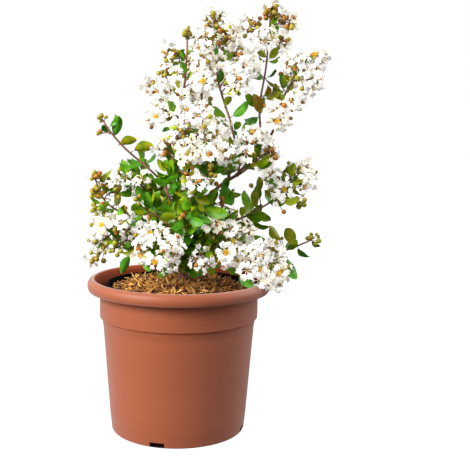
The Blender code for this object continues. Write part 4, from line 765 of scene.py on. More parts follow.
def grow_limbs():
    """The trunk and the boughs, each a path with a radius at each of its points."""
    limbs = {"trunk": trunk_limb()}
    ends = {shoot.name: cm(shoot.stem[0]) for shoot in SHOOTS}
    for bough in BOUGHS:
        via = [cm(point) for point in bough.via]
        start, elbow = start_on(limbs[bough.parent], bough.share, via[0])
        path = [start] + smooth([elbow] + via + [ends[bough.name]], 2)
        more, steps = bough.radius * 0.01 - BOUGH_TIP_RADIUS, len(path) - 1
        limbs[bough.name] = path, [BOUGH_TIP_RADIUS + more * (1 - step / steps) for step in range(steps + 1)]
    return limbs


def stem_of(shoot, limbs):
    """A shoot's stem, from the tip of its bough or from the trunk."""
    carrier, share = (limbs[shoot.name], 1) if shoot.carrier == "bough" else (limbs["trunk"], shoot.carrier)
    foot, elbow = start_on(carrier, share, cm(shoot.stem[0]))
    spans = 1 if len(shoot.stem) > 3 else 2
    path = [foot] + smooth([elbow] + [cm(point) for point in shoot.stem[1:]], spans)
    steps = len(path) - 1
    return path, [STEM_RADIUS + (TIP_RADIUS - STEM_RADIUS) * step / steps for step in range(steps + 1)]


def twig_foot(stem, head):
    """The place on the stem that a head's twig leaves from, and the stem's direction there."""

    def cost(place):
        """The way to the head, and more where the twig would turn back from the stem."""
        reach = (head - place[0]).length
        return reach + 0.4 * max(0.0, 0.5 * reach - (head - place[0]).dot(place[1]))

    return min([place_on(stem, step / 20) for step in range(3, 20)], key=cost)[:2]


def turned_out(way, angle, lift, rise=0.0):
    """A direction at this angle round another, lifted towards it."""
    across, face, _ = frame_for(way, Vector(UP))
    out = Vector(across * math.cos(angle) + face * math.sin(angle))
    return (out + way * lift + Vector((0, 0, rise))).normalized()


def finely(limb, step):
    """A limb with its points as close together as the step, on a curve through them."""
    path, radii = limb
    kept = 1 if len(path) > 3 else 0
    bent = np.array(path[:kept] + smooth(path[kept:], 6))
    run = np.concatenate([[0], np.cumsum(np.linalg.norm(np.diff(bent, axis=0), axis=1))])
    known = np.concatenate([[0], np.cumsum([(end - start).length for start, end in zip(path, path[1:])])])
    places = np.linspace(0, run[-1], max(3, round(run[-1] / step)))
    fine = np.stack([np.interp(places, run, bent[:, axis]) for axis in range(3)], axis=1)
    return fine, np.interp(places / run[-1], known / known[-1], radii), places


# Trunk and boughs


def add_bark(heap, name, limb, parent, share):
    """A limb with ridges along it. Its foot is sunk in the limb that it leaves, and flares there."""
    fine, radii, places = finely(limb, BARK_STEP)
    if parent:
        at, _, wide = place_on(parent, share)
        fine = np.concatenate([[np.array(at)], fine])
        places = np.concatenate([[0], places + wide * (share < 1)])
        radii = np.concatenate([[radii[0]], radii])
        if share < 1:
            radii = radii * (1 + FOOT_FLARE * np.exp(-((places / (wide * 1.5)) ** 2)))
    drift = sum(map(ord, name)) * 0.37

    def relief(index, angles):
        along = places[index]
        knot = math.exp(-(((along / KNOT_SPACING) % 1 - 0.5) / KNOT_WIDTH) ** 2) * BARK_KNOT
        found = []
        for angle in angles:
            x, y = math.cos(angle), math.sin(angle)
            ridge = noise.noise(Vector((x * 1.9 + drift, y * 1.9, along * 70)))
            grain = noise.noise(Vector((x * 5.0, y * 5.0 + drift, along * 420)))
            found.append(1 + BARK_RIDGE * ridge + BARK_GRAIN * grain + knot)
        return np.array(found)

    heap.add(*tube(fine, radii, 20 if radii.max() > 0.005 else 12, relief))


def make_bark(limbs):
    heap = Heap()
    add_bark(heap, "trunk", limbs["trunk"], None, 1)
    for bough in BOUGHS:
        add_bark(heap, bough.name, limbs[bough.name], limbs[bough.parent], bough.share)
    make_piece("bark", heap, "bark", ["trunk"] + ["bough_" + bough.name for bough in BOUGHS])


# Leaves


def leaf_blade(length, fold, bend, wave):
    """A leaf along +Z that faces +Y: widest past its middle, folded at the midrib and arched to its tip."""
    t = np.linspace(0, 1, LEAF_ROWS + 1)[:, None]
    v = np.linspace(-1, 1, LEAF_COLUMNS + 1)[None, :]
    half = length * LEAF_HALF_WIDTH * np.sin(math.pi * t**0.92) ** 0.72
    half[[0, -1]] = length * 0.004
    across = half * v * math.cos(fold)
    ripple = LEAF_RIPPLE * length * np.sin(wave + 11 * t) * np.abs(v) ** 1.5 * np.sign(v)
    lift = half * np.abs(v) * math.sin(fold) + ripple
    turn = bend * t
    along, sink = length * np.sin(turn) / bend, length * (1 - np.cos(turn)) / bend
    corners = np.stack([across, lift * np.cos(turn) - sink, along + lift * np.sin(turn)], axis=2)
    return corners.reshape(-1, 3), grid_faces(LEAF_ROWS + 1, LEAF_COLUMNS + 1)


def rib_strip(length, bend):
    """The pale midrib: a low ridge that lies on the leaf's fold and runs out towards the tip."""
    t = np.linspace(0, 0.93, LEAF_ROWS + 1)[:, None]
    v = np.array([-1.0, 0.0, 1.0])[None, :]
    turn = bend * t
    across = RIB_HALF_WIDTH * (1 - 0.75 * t) * v
    lift = 0.00018 + RIB_HEIGHT * (1 - np.abs(v)) * (1 - t)
    rise = lift * np.cos(turn) - length * (1 - np.cos(turn)) / bend
    corners = np.stack([across, rise, length * np.sin(turn) / bend + 0 * v], axis=2)
    return corners.reshape(-1, 3), grid_faces(LEAF_ROWS + 1, 3)


def leaf_face(at, way, rng):
    """Where a leaf's face looks: up, a little along its shoot, and out to the nearer of front and back."""
    ahead = -1 if at.y < BACK_FROM else 1
    return Vector((rng.uniform(-0.5, 0.5), ahead * rng.uniform(0.1, 1.5), 0.7)) + way * 0.3


def leaf_tone(shoot, rng):
    shares = next((shares for shares, names in TONE_AND_PAINTED_LIGHT_GROUPS if shoot.name in names), USUAL_TONES)
    return rng.choices(LEAF_TONES, shares)[0]


def add_leaf(plant, tone, at, out, up, length, rng):
    """A leaf on its short stalk."""
    axes = frame_for(out, up)
    foot = at + out * PETIOLE
    plant.add_twig("green", [at, foot + out * 0.001], PETIOLE_RADII, 4)
    bend = rng.uniform(*LEAF_BEND)
    blade = leaf_blade(length, rng.uniform(*LEAF_FOLD), bend, rng.uniform(0, math.tau))
    plant.heaps["leaves_" + tone].add_turned(blade, axes, foot)
    plant.heaps["leaf_ribs"].add_turned(rib_strip(length, bend), axes, foot)


def clear_way(plant, at, outs, length):
    """The first direction in which a leaf stays clear of limbs, mulch and lip, or else none."""
    for out in outs:
        line = np.array([at + out * (length * part + PETIOLE) for part in (0.25, 0.5, 0.75, 1.0)])
        radius = np.hypot(line[:, 0], line[:, 1])
        low = np.where(radius < LINER_RADIUS, MULCH_TOP + 0.006, POT_HEIGHT + 0.004)
        low = np.where(radius > RIM_RADIUS + 0.004, 0.2, low)
        run = plant.limb_ends - plant.limb_starts
        share = ((line[:, None] - plant.limb_starts) * run).sum(axis=2) / (run * run).sum(axis=1)
        nearest = plant.limb_starts + np.clip(share, 0, 1)[..., None] * run
        gap = np.linalg.norm(line[:, None] - nearest, axis=2) - plant.limb_radii
        if (line[:, 2] > low).all() and gap.min() > LEAF_CLEARANCE:
            return out
    return None


def try_leaf(plant, shoot, at, way, outs, length, rng, kept=None):
    """A leaf by the first way that is clear, if there is one. Of such leaves only the kept share grows."""
    out = clear_way(plant, at, outs, length)
    if out and (kept is None or rng.random() < kept):
        add_leaf(plant, leaf_tone(shoot, rng), at, out, leaf_face(at, way, rng), length, rng)


def add_stem_leaves(plant, shoot, stem, rng):
    """Pairs of leaves up the stem, each pair turned about a quarter from the last."""
    habit = HABITS.get(shoot.name, USUAL)
    for pair in range(shoot.pairs):
        share = 0.08 + 0.90 * (pair + 0.5) / shoot.pairs
        at, way, _ = place_on(stem, share)
        for side in (0, 180):
            angle = math.radians(shoot.turn + pair * 95 + side)
            length = LEAF_LENGTH * habit.size * (1.2 - 0.5 * share) * rng.uniform(0.85, 1.1)
            outs = [
                turned_out(way, angle + nudge, rng.uniform(0.2, 0.7), rng.uniform(-0.2, 0.25))
                for nudge in (0, 0.35, -0.35, 0.8, -0.8)
            ]
            try_leaf(plant, shoot, at, way, outs, length, rng, habit.leaves)


def nearest_on(limbs, spot):
    """The point nearest to the spot on the middle lines of the limbs."""
    found = []
    for path, _ in limbs:
        for start, end in zip(path, path[1:]):
            run = end - start
            share = min(1.0, max(0.0, (spot - start).dot(run) / run.length_squared))
            found.append(start + run * share)
    return min(found, key=lambda point: (point - spot).length)


def add_placed(plant, limbs):
    """The leaves and buds that stand out, each on a twig from the limb that is nearest."""
    rng = random.Random(PLACED_SEED)
    for *places, tone in PLACED_LEAVES:
        foot, tip = cm(places[:3]), cm(places[3:])
        start = nearest_on(limbs, foot)
        way = ((foot - start).normalized() + Vector((0, 0, 0.4))).normalized()
        plant.add_twig("green", arc(start, way, foot, 4, 0.4), (TWIG_RADIUS, STALK_RADIUS), 5)
        lift = rng.uniform(0.3, 0.8) if foot.x > 0 else rng.uniform(-0.5, 0.0)
        face = Vector((rng.uniform(-0.3, 0.3), -0.9, lift))
        add_leaf(plant, tone, foot, (tip - foot).normalized(), face, (tip - foot).length * 1.05, rng)
    facing = Vector((0, -0.8, 0.6))
    for place, tone in PLACED_BUDS:
        base = plant.add_bud_globe(tone, facing, cm(place), 1)
        path = arc(nearest_on(limbs, base), facing, base, 5, 0.3)
        plant.add_twig("green", path, (TWIG_RADIUS, STALK_RADIUS), 5)


def add_side_twigs(plant, shoot, limb, count, rng):
    """Short leafy twigs off a stem or bough, finer than the source's."""
    habit = HABITS.get(shoot.name, USUAL)
    for index in range(count):
        share = 0.03 + 0.92 * (index + rng.random()) / count
        at, way, _ = place_on(limb, share)
        turn = rng.uniform(0, math.tau)
        rise = -0.5 if shoot.name in LOW_SHOOTS else 0.1
        outs = [turned_out(way, turn + nudge, rng.uniform(0.2, 0.8), rise) for nudge in TURNS_ROUND]
        out = clear_way(plant, at, outs, SIDE_TWIG + LEAF_LENGTH * 0.6)
        if not out:
            continue
        tip = at + out * SIDE_TWIG * rng.uniform(0.7, 1.1)
        twig = arc(at, (way + out).normalized(), tip, 5, 0.3)
        plant.add_twig("green", twig, (TWIG_RADIUS, STALK_RADIUS), 5)
        for place, lift, spin in ((at.lerp(tip, 0.45), 0.5, 0.0), (tip, 0.9, 1.6)):
            for side in (0, math.pi):
                length = LEAF_LENGTH * habit.size * rng.uniform(0.55, 0.9)
                outs = [turned_out(out, turn + spin + side + nudge, lift) for nudge in (0, 0.6, -0.6)]
                try_leaf(plant, shoot, place, out, outs, length, rng)


# Blooms and buds


def petal(rng):
    """A petal along +X that faces +Z: a thin claw that opens into a round limb with a crinkled edge."""
    t = np.linspace(0, 1, PETAL_ROWS)[:, None]
    v = np.linspace(-1, 1, PETAL_COLUMNS)[None, :]
    limb = np.clip((t - CLAW_SHARE) / (1 - CLAW_SHARE), 0, 1)
    swell = np.sqrt(np.clip(1 - (1 - np.minimum(limb / 0.6, 1)) ** 2, 0, 1))
    half = 0.0004 + BLOOM_RADIUS * PETAL_HALF_WIDTH * swell
    waves, first, second, third = rng.uniform(3.2, 4.2), *(rng.uniform(0, math.tau) for _ in range(3))
    frill = PETAL_FRILL * limb**0.7 * np.sin(math.pi * waves * v + first) * (0.6 + 0.4 * np.abs(v))
    pucker = PETAL_PUCKER * limb * np.sin(8 * t + 4 * v + second)
    edge = PETAL_PUCKER * limb * np.sin(6 * v + third)
    out = BLOOM_RADIUS * (0.13 + 0.87 * t - 0.24 * limb * v**2) + edge
    rise = PETAL_SAG * np.sin(math.pi * 0.6 * t) - PETAL_SAG * limb**2 * rng.uniform(-0.3, 1.7)
    corners = np.stack([out, half * v * (1 - 0.10 * np.cos(waves * v)), rise + frill + pucker], axis=2)
    return corners.reshape(-1, 3), grid_faces(PETAL_ROWS, PETAL_COLUMNS)


def spun(shape, angle, tilt=0.0):
    """A shape tipped by the tilt about Y, then turned about Z."""
    turn = Matrix.Rotation(angle, 3, "Z") @ Matrix.Rotation(tilt, 3, "Y")
    return shape[0] @ np.array(turn).T, shape[1]


def grain(place, radius, rng):
    """A small eight-sided grain, a little longer one way."""
    ends = np.array([(1.5, 0, 0), (-1.5, 0, 0), (0, 1, 0), (0, -1, 0), (0, 0, 1), (0, 0, -1)]) * radius
    turn = rng.uniform(0, math.tau)
    across = np.array([(math.cos(turn), math.sin(turn), 0), (-math.sin(turn), math.cos(turn), 0), UP])
    faces = [(0, 2, 4), (2, 1, 4), (1, 3, 4), (3, 0, 4), (2, 0, 5), (1, 2, 5), (3, 1, 5), (0, 3, 5)]
    return ends @ across + np.array(place), np.array(faces)


def bloom_shapes(rng, fresh):
    """A bloom that faces +Z, as one shape of petals, one of filaments, one of anthers and one of calyx."""
    petals, filaments, anthers = Heap(), Heap(), Heap()
    for index in range(PETAL_COUNT):
        blade = petal(rng)
        angle = math.tau * (index + rng.uniform(-0.2, 0.2)) / PETAL_COUNT
        petals.add(*spun(blade, angle, rng.uniform(-0.65, 0.3)))
    spread, grain_radius = (0.0046, 0.0011) if fresh else (0.0022, 0.0006)
    for index in range(STAMEN_COUNT if fresh else STAMEN_COUNT // 2):
        angle = index * GOLDEN_TURN
        reach = spread * math.sqrt((index + 0.5) / STAMEN_COUNT)
        tip = Vector((reach * math.cos(angle), reach * math.sin(angle), rng.uniform(*STAMEN_HEIGHT)))
        filaments.add(*tube([tip * 0.1, tip], STAMEN_RADII, 3))
        anthers.add(*grain(tip, grain_radius, rng))
    cup, faces = lathe(CUP_PROFILE, CUP_STEPS)
    near_rim = (cup[:, 2] > -0.001) & (np.hypot(cup[:, 0], cup[:, 1]) > 0.0025)
    teeth = near_rim * np.clip(np.cos(6 * np.arctan2(cup[:, 1], cup[:, 0])), 0, 1)
    cup[:, :2] *= 1 + 0.45 * teeth[:, None]
    cup[:, 2] -= 0.0006 * teeth
    return petals.joined(), filaments.joined(), anthers.joined(), (cup, faces)


def bud_shape():
    """A bud along +Z from its foot: a globe with six ridges and a small point."""
    corners, faces = lathe([(wide * BUD_RADIUS, high * BUD_RADIUS) for wide, high in BUD_PROFILE], BUD_STEPS)
    angles = np.arctan2(corners[:, 1], corners[:, 0])
    corners[:, :2] *= 1 + 0.07 * np.cos(6 * angles)[:, None]
    return corners, faces


def around(lean, count, index, turn):
    """A direction spread over the part of a ball that faces the way it leans."""
    axes = frame_for(lean, Vector((0.0, 0.3, 1.0)))
    height = 1 - 1.7 * (index + 0.3) / count
    ring = math.sqrt(max(0.0, 1 - height * height))
    angle = turn + index * GOLDEN_TURN
    return Vector(np.array((ring * math.cos(angle), ring * math.sin(angle), height)) @ axes)


def add_head(plant, shoot, head, stem, rng):
    """A twig with its leaves, then the blooms and buds of its head, each on a stalk of its own."""
    habit = HABITS.get(shoot.name, USUAL)
    *place, size, blooms, buds = head
    centre, size = cm(place), size * 0.01
    blooms, buds = round(blooms * habit.blooms), round(buds * habit.buds)
    foot, stem_way = twig_foot(stem, centre)
    way, reach = (centre - foot).normalized(), (centre - foot).length
    twig = arc(foot, (stem_way + way).normalized(), centre, 7, 0.3)
    plant.add_twig("red" if rng.random() < 0.6 else "green", twig, (TWIG_RADIUS, TWIG_TIP_RADIUS), 6)
    lean = (way + Vector((0, 0, 0.5))).normalized()
    turn = rng.uniform(0, math.tau)
    for index in range(blooms + buds):
        stalk = centre - way * min(0.0022 * (index + 0.5), reach * 0.6)
        out = around(lean, blooms + buds, index, turn)
        if index < blooms:
            add_bloom(plant, stalk, centre + out * size * BLOOM_REACH * rng.uniform(0.85, 1.1), out, rng)
        else:
            add_bud(plant, shoot, stalk, centre + out * size * BUD_REACH * rng.uniform(0.45, 1.15), out, rng)
    between = round(blooms * BUDS_AMONG_BLOOMS)
    for index in range(between):
        out = around(lean, between, index, turn + 1)
        add_bud(plant, shoot, centre, centre + out * size * rng.uniform(0.7, 1.25), out, rng)
    for share in (0.35,) if reach < 0.038 else (0.35, 0.75):
        angle = rng.uniform(0, math.tau)
        length = LEAF_LENGTH * habit.size * rng.uniform(0.55, 0.85)
        outs = [turned_out(way, angle + nudge, 0.3) for nudge in TURNS_ROUND]
        try_leaf(plant, shoot, foot.lerp(centre, share), way, outs, length, rng, habit.leaves)


def add_bloom(plant, stalk, centre, out, rng, bright=False):
    """A bloom that faces out, with its stalk. It keeps off the ring of black pot and above mulch and lip."""
    radius = math.hypot(centre.x, centre.y)
    if LINER_RADIUS - 0.01 < radius < RIM_RADIUS - RIM_WIDTH and centre.z < POT_HEIGHT + 0.020:
        return
    low = MULCH_TOP + 0.012 if radius < LINER_RADIUS else POT_HEIGHT + 0.004
    low = low if radius < RIM_RADIUS + 0.006 else 0.21
    centre = Vector((centre.x, centre.y, max(centre.z, low)))
    facing = (out + jitter(rng, 0.35)).normalized()
    axes = frame_for(facing, Vector(UP))
    fresh = bright or rng.random() < FRESH_SHARE
    shapes = rng.choice(plant.fresh_blooms if fresh else plant.blooms)
    scale = rng.uniform(0.86, 1.06)
    petals = "petals_warm" if rng.random() < WARM_SHARE else "petals_white"
    anthers = "anthers_gold" if fresh else "anthers_ochre"
    for shape, name in zip(shapes, (petals, "stamen_threads", anthers, "bloom_cups")):
        plant.heaps[name].add_turned(shape, axes, centre, scale)
    base = centre - facing * BLOOM_FOOT
    path = arc(stalk, (base - stalk).normalized(), base, 3)
    plant.heaps["twigs_green"].add(*tube(path, [STALK_RADIUS] * 3 + [STALK_RADIUS * 1.6], 4))


def add_bud(plant, shoot, stalk, centre, out, rng):
    """A bud on its stalk."""
    tone = rng.choices(BUD_TONES, GREEN_BUD_SHARES if shoot.name in GREEN_BUDS else BUD_SHARES)[0]
    facing = (out + jitter(rng, 0.3)).normalized()
    plant.add_bud_globe(tone, facing, centre, rng.uniform(0.7, 1.15))
    path = arc(stalk, facing, centre - facing * BUD_RADIUS * 0.9, 3, 0.2)
    plant.add_twig("red" if tone == "rust" else "green", path, (STALK_RADIUS, STALK_RADIUS), 4)


class Plant:
    """The heaps that the shoots are gathered in, ready shapes, and the limbs that leaves keep clear of."""

    def __init__(self, limbs):
        rng = random.Random(SEED)
        self.heaps = {name: Heap() for name in FOLIAGE}
        self.blooms = [bloom_shapes(rng, False) for _ in range(6)]
        self.fresh_blooms = [bloom_shapes(rng, True) for _ in range(4)]
        self.bud = bud_shape()
        spans = [
            (start, end, max(wide, narrow))
            for path, radii in limbs.values()
            for start, end, wide, narrow in zip(path, path[1:], radii, radii[1:])
        ]
        self.limb_starts, self.limb_ends, self.limb_radii = (np.array(part) for part in zip(*spans))

    def add_twig(self, tone, path, radii, sides):
        """A twig whose radius goes evenly from the first of the two radii to the second."""
        self.heaps["twigs_" + tone].add(*tube(path, np.linspace(*radii, len(path)), sides))

    def add_bud_globe(self, tone, facing, centre, scale):
        base = centre - facing * BUD_RADIUS
        self.heaps["buds_" + tone].add_turned(self.bud, frame_for(facing, Vector((0.1, 0, 1))), base, scale)
        return base


def add_shoot(plant, index, shoot, limbs):
    """One shoot: its stem, its heads and its leaves."""
    rng = random.Random(SEED + index)
    stem = stem_of(shoot, limbs)
    fine, radii, _ = finely(stem, 0.004)
    if shoot.carrier == "bough":
        fine[0] = np.array(limbs[shoot.name][0][-1])
    else:
        fine[0] = np.array(place_on(limbs["trunk"], shoot.carrier)[0])
    plant.heaps["twigs_red"].add(*tube(fine, radii, 8))
    for head in shoot.heads:
        add_head(plant, shoot, head, stem, rng)
    add_stem_leaves(plant, shoot, stem, rng)
    add_side_twigs(plant, shoot, stem, HABITS.get(shoot.name, USUAL).twigs, rng)
    for table, bright in ((YELLOW_BLOOMS, True), (PLAIN_BLOOMS, False)):
        for place in table.get(shoot.name, ()):
            stalk = nearest_on([stem], cm(place))
            add_bloom(plant, stalk, cm(place), Vector((0, -1, 0.15)), rng, bright)
    if shoot.name in BOUGH_TWIGS:
        add_side_twigs(plant, shoot, limbs[shoot.name], BOUGH_TWIGS[shoot.name], rng)


def make_foliage(limbs):
    """Every shoot, and the pieces that they are gathered in."""
    plant = Plant(limbs)
    for index, shoot in enumerate(SHOOTS):
        add_shoot(plant, index, shoot, limbs)
    add_placed(plant, list(limbs.values()) + [stem_of(shoot, limbs) for shoot in SHOOTS])
    masses = ["mass_" + shoot.name for shoot in SHOOTS]
    for name, heap in plant.heaps.items():
        make_piece(name, heap, FOLIAGE[name], masses)


# Pot, growing pot and mulch


def pot_profile():
    """Up the inside from the floor, over the lip, then down the band, its step and the tapering side."""
    under_lip = POT_HEIGHT - RIM_HEIGHT + 0.002
    inner = [(0.0, POT_FLOOR), (BASE_RADIUS - WALL, POT_FLOOR), (BODY_TOP_RADIUS - WALL, BAND_FOOT - 0.014)]
    inner += [(BAND_RADIUS - WALL, BAND_FOOT), (BAND_RADIUS - WALL, under_lip)]
    outer = [(BAND_RADIUS, under_lip), (BAND_RADIUS, BAND_FOOT)]
    outer += [(BAND_RADIUS - BAND_STEP, BAND_FOOT - 0.0004), (BODY_TOP_RADIUS, BAND_FOOT - 0.016)]
    outer += [(BASE_RADIUS + 0.004, 0.030), (BASE_RADIUS + 0.0010, 0.0016), (BASE_RADIUS - 0.0006, 0.0), (0.0, 0.0)]
    lip = []
    for step in range(RIM_POINTS + 1):
        angle = math.pi - (math.pi + RIM_CURL) * step / RIM_POINTS
        across = RIM_RADIUS - RIM_WIDTH / 2 * (1 - math.cos(angle))
        lip.append((across, POT_HEIGHT - RIM_HEIGHT / 2 * (1 - math.sin(angle))))
    return rounded(inner + lip[:1], 0.003) + lip[1:] + rounded(outer, 0.0005)


def drain_notches():
    """Blocks with an arched section, laid round the edge of the pot's underside."""
    heap = Heap()
    half, height = DRAIN_WIDTH / 2, DRAIN_HEIGHT
    arch = rounded([(-half, DRAIN_SILL), (-half, height), (half, height), (half, DRAIN_SILL)], DRAIN_CORNER)
    for index in range(DRAIN_COUNT):
        bearing = DRAIN_BEARING + index * math.tau / DRAIN_COUNT - math.pi / 2
        reaches = BASE_RADIUS - DRAIN_HOLLOW, BASE_RADIUS + 0.02
        corners, faces = capped(np.array([[(reach, *point) for point in arch] for reach in reaches]))
        heap.add(corners @ np.array(Matrix.Rotation(bearing, 3, "Z")).T, faces)
    return heap.mesh("drain_notches")


def face_out(mesh):
    """Turns the faces of a closed mesh to look outwards."""
    bm = bmesh.new()
    bm.from_mesh(mesh)
    bmesh.ops.recalc_face_normals(bm, faces=bm.faces)
    bm.to_mesh(mesh)
    bm.free()


def make_pot():
    """The outer pot, with drain notches cut round the edge of its underside, its inside in a painted shade and its
    drain pockets in a painted shadow.
    """
    heap = Heap()
    heap.add(*lathe(pot_profile(), POT_STEPS))
    pot = make_piece("pot_shell", heap, "terracotta plastic", ["pot"])
    notches = add_object("drain_notches", drain_notches())
    for shape in (pot.data, notches.data):
        face_out(shape)
    cut = pot.modifiers.new("Drain notches", "BOOLEAN")
    cut.operation = "DIFFERENCE"
    cut.object = notches
    bpy.context.view_layer.update()
    pot.data = bpy.data.meshes.new_from_object(pot.evaluated_get(bpy.context.evaluated_depsgraph_get()))
    pot.modifiers.clear()
    pot.data.set_sharp_from_angle(angle=POT_CREASE)
    bpy.data.objects.remove(notches)
    # The inside and the lip's inner half get a redder copy of the terracotta without sheen, a painted shade
    pot.data.materials.append(finish_of("terracotta inside"))
    # The drain pockets get a near-black finish, a painted shadow
    pot.data.materials.append(finish_of("drain pocket"))
    for face in pot.data.polygons:
        reach = face.center.xy.length
        if 0.0001 < face.center.z < POT_FLOOR - 0.001 and reach < BASE_RADIUS - 0.001:
            face.material_index = 2
        elif face.normal.xy.dot(face.center.xy) < INSIDE_SHADE_SLOPE * reach:
            face.material_index = 1


def make_liner():
    """The thin growing pot, with a bead round its rim and a slight waviness in its wall."""
    foot, bead_foot, bead_radius = POT_FLOOR + GAP, LINER_TOP - LINER_BEAD_HEIGHT, LINER_RADIUS + LINER_BEAD
    profile = [(0.0, foot + LINER_WALL), (LINER_BASE_RADIUS - LINER_WALL, foot + LINER_WALL)]
    profile += [(LINER_RADIUS - LINER_WALL, LINER_TOP), (bead_radius, LINER_TOP), (bead_radius, bead_foot)]
    profile += [(LINER_RADIUS, bead_foot - 0.001), (LINER_BASE_RADIUS, foot), (0.0, foot)]
    corners, faces = lathe(rounded(profile, 0.0006, 3), LINER_STEPS)
    angles = np.arctan2(corners[:, 1], corners[:, 0])
    waves = np.sin(3 * angles + 1) + np.sin(7 * angles)
    sway = LINER_SWAY * waves * np.clip(corners[:, 2] / LINER_TOP, 0, 1) ** 4
    corners[:, :2] *= 1 + (sway / LINER_RADIUS)[:, None]
    heap = Heap()
    heap.add(corners, faces)
    make_piece("liner_wall", heap, "black plastic", ["liner"])


def ball_edge():
    """The root ball's radius at the edge of its top and at its foot, and the height of its foot."""
    foot = POT_FLOOR + 2 * GAP + LINER_WALL
    foot_radius = LINER_BASE_RADIUS - LINER_WALL - 2 * GAP
    slope = (LINER_RADIUS - LINER_BASE_RADIUS) / (LINER_TOP - foot)
    return foot_radius + slope * (MULCH_EDGE - foot), foot_radius, foot


def top_at(x, y):
    """The height of the root ball's uneven top."""
    edge = ball_edge()[0]
    radius = math.hypot(x, y)
    share = min(1.0, max(0.0, (radius - MULCH_FLAT) / (edge - MULCH_FLAT)))
    fine = noise.noise(Vector((x, y, 1)) * 160) * MULCH_BUMP * 0.4
    bump = noise.noise(Vector((x, y, 0)) * 50) * MULCH_BUMP + fine
    rough = min(1.0, max(0.0, radius / MULCH_FLAT - 0.6))
    return MULCH_TOP + (MULCH_EDGE - MULCH_TOP) * share**2 + bump * rough


def make_root_ball():
    """The root ball, with a domed and crumbly top."""
    edge, foot_radius, foot = ball_edge()
    profile = [(0.0, MULCH_TOP)]
    profile += [(edge * ring / MULCH_RINGS, MULCH_EDGE) for ring in range(1, MULCH_RINGS + 1)]
    corners, faces = lathe(profile + [(foot_radius, foot), (0.0, foot)], MULCH_STEPS)
    for corner in corners:
        if corner[2] > MULCH_EDGE - 0.001:
            corner[2] = top_at(corner[0], corner[1])
    heap = Heap()
    heap.add(corners, faces)
    make_piece("root_ball", heap, "mulch bed", ["mulch"])


def shred(rng):
    """A sliver of wood along +Z: bent a little, thick at its middle and torn at its ends."""
    length = rng.uniform(*SHRED_LENGTH)
    half = rng.uniform(*SHRED_WIDTH) / 2
    bend = rng.uniform(-0.12, 0.12) * length
    section = (1, 0.4), (0.2, 1), (-1, 0.3), (-0.4, -1)
    rings = []
    for share, wide in ((0, 0.35), (0.15, 0.9), (0.5, 1.0), (0.82, 0.8), (1, 0.2)):
        middle, rise = bend * (1 - (2 * share - 1) ** 2), (share - 0.5) * length
        wide = half * wide * rng.uniform(0.8, 1.2)
        thick = wide * 0.38
        rings.append([(middle + x * wide, y * thick, rise) for x, y in section])
    return capped(np.array(rings))


def make_shreds():
    """Wood shreds strewn over the root ball, some of them leaning up on the others."""
    rng = random.Random(SHRED_SEED)
    heaps = [Heap() for _ in SHREDS]
    edge = ball_edge()[0]
    for _ in range(SHRED_COUNT):
        shape = shred(rng)
        reach = (edge - 0.004) * math.sqrt(rng.random())
        angle = rng.uniform(0, math.tau)
        place = Vector((reach * math.cos(angle), reach * math.sin(angle), 0))
        steep = rng.random() < STEEP_SHARE and reach < edge * 0.8
        lean = rng.uniform(0.4, 1.1) if steep else rng.uniform(-0.35, 0.35)
        heading = rng.uniform(0, math.tau)
        level = math.cos(lean)
        along = Vector((math.cos(heading) * level, math.sin(heading) * level, math.sin(lean)))
        half = max(shape[0][:, 2]) * along.xy.length
        for _ in range(12):
            end = along.xy.normalized() * half
            if max((place.xy + end).length, (place.xy - end).length) < edge - 0.001:
                break
            along.xy = Matrix.Rotation(0.5, 2) @ along.xy
        else:
            continue
        place.z = top_at(place.x, place.y) + rng.uniform(*SHRED_LIFT)
        roll = Vector((rng.uniform(-0.5, 0.5), rng.uniform(-0.5, 0.5), 1))
        rng.choices(heaps, SHRED_SHARES)[0].add_turned(shape, frame_for(along, roll), place)
    for heap, (name, finish) in zip(heaps, SHREDS.items()):
        make_piece(name, heap, finish, ["mulch"])


# Materials


def finish_of(name):
    """A Principled material whose colour runs between a few tones of noise, with a bump of finer noise."""
    tones, roughness, scale, bump, *sockets = FINISHES[name]
    made = bpy.data.materials.new(name)
    made.use_nodes = True
    nodes, links = made.node_tree.nodes, made.node_tree.links
    shader = nodes["Principled BSDF"]
    for socket, value in sockets:
        shader.inputs[socket].default_value = value

    def fed(kind, socket, source, values=()):
        """A node with one socket fed by a source, and values in others."""
        node = nodes.new(kind)
        links.new(source, node.inputs[socket])
        for key, value in values:
            node.inputs[key].default_value = value
        return node

    place = nodes.new("ShaderNodeTexCoord").outputs["Object"]
    stretch = STRETCHES.get(name, (1, 1, 1))
    spread = fed("ShaderNodeMapping", "Vector", place, [("Scale", stretch)]).outputs["Vector"]
    blend = fed("ShaderNodeTexNoise", "Vector", spread, [("Scale", scale), ("Detail", 4)]).outputs["Fac"]
    fine = fed("ShaderNodeTexNoise", "Vector", spread, [("Scale", scale * 5), ("Detail", 3)]).outputs["Fac"]
    ramp = fed("ShaderNodeValToRGB", "Fac", blend)
    while len(ramp.color_ramp.elements) < len(tones):
        ramp.color_ramp.elements.new(0.5)
    for index, (stop, tone) in enumerate(zip(ramp.color_ramp.elements, tones)):
        stop.position = 0.3 + 0.4 * index / (len(tones) - 1)
        stop.color = (*tone, 1)
    ends = [("To Min", roughness - ROUGHNESS_SPREAD), ("To Max", roughness + ROUGHNESS_SPREAD)]
    gloss = fed("ShaderNodeMapRange", "Value", blend, ends)
    raised = fed("ShaderNodeBump", "Height", fine, [("Strength", 0.6), ("Distance", bump)])
    links.new(ramp.outputs["Color"], shader.inputs["Base Color"])
    links.new(gloss.outputs["Result"], shader.inputs["Roughness"])
    links.new(raised.outputs["Normal"], shader.inputs["Normal"])
    return made


# Studio


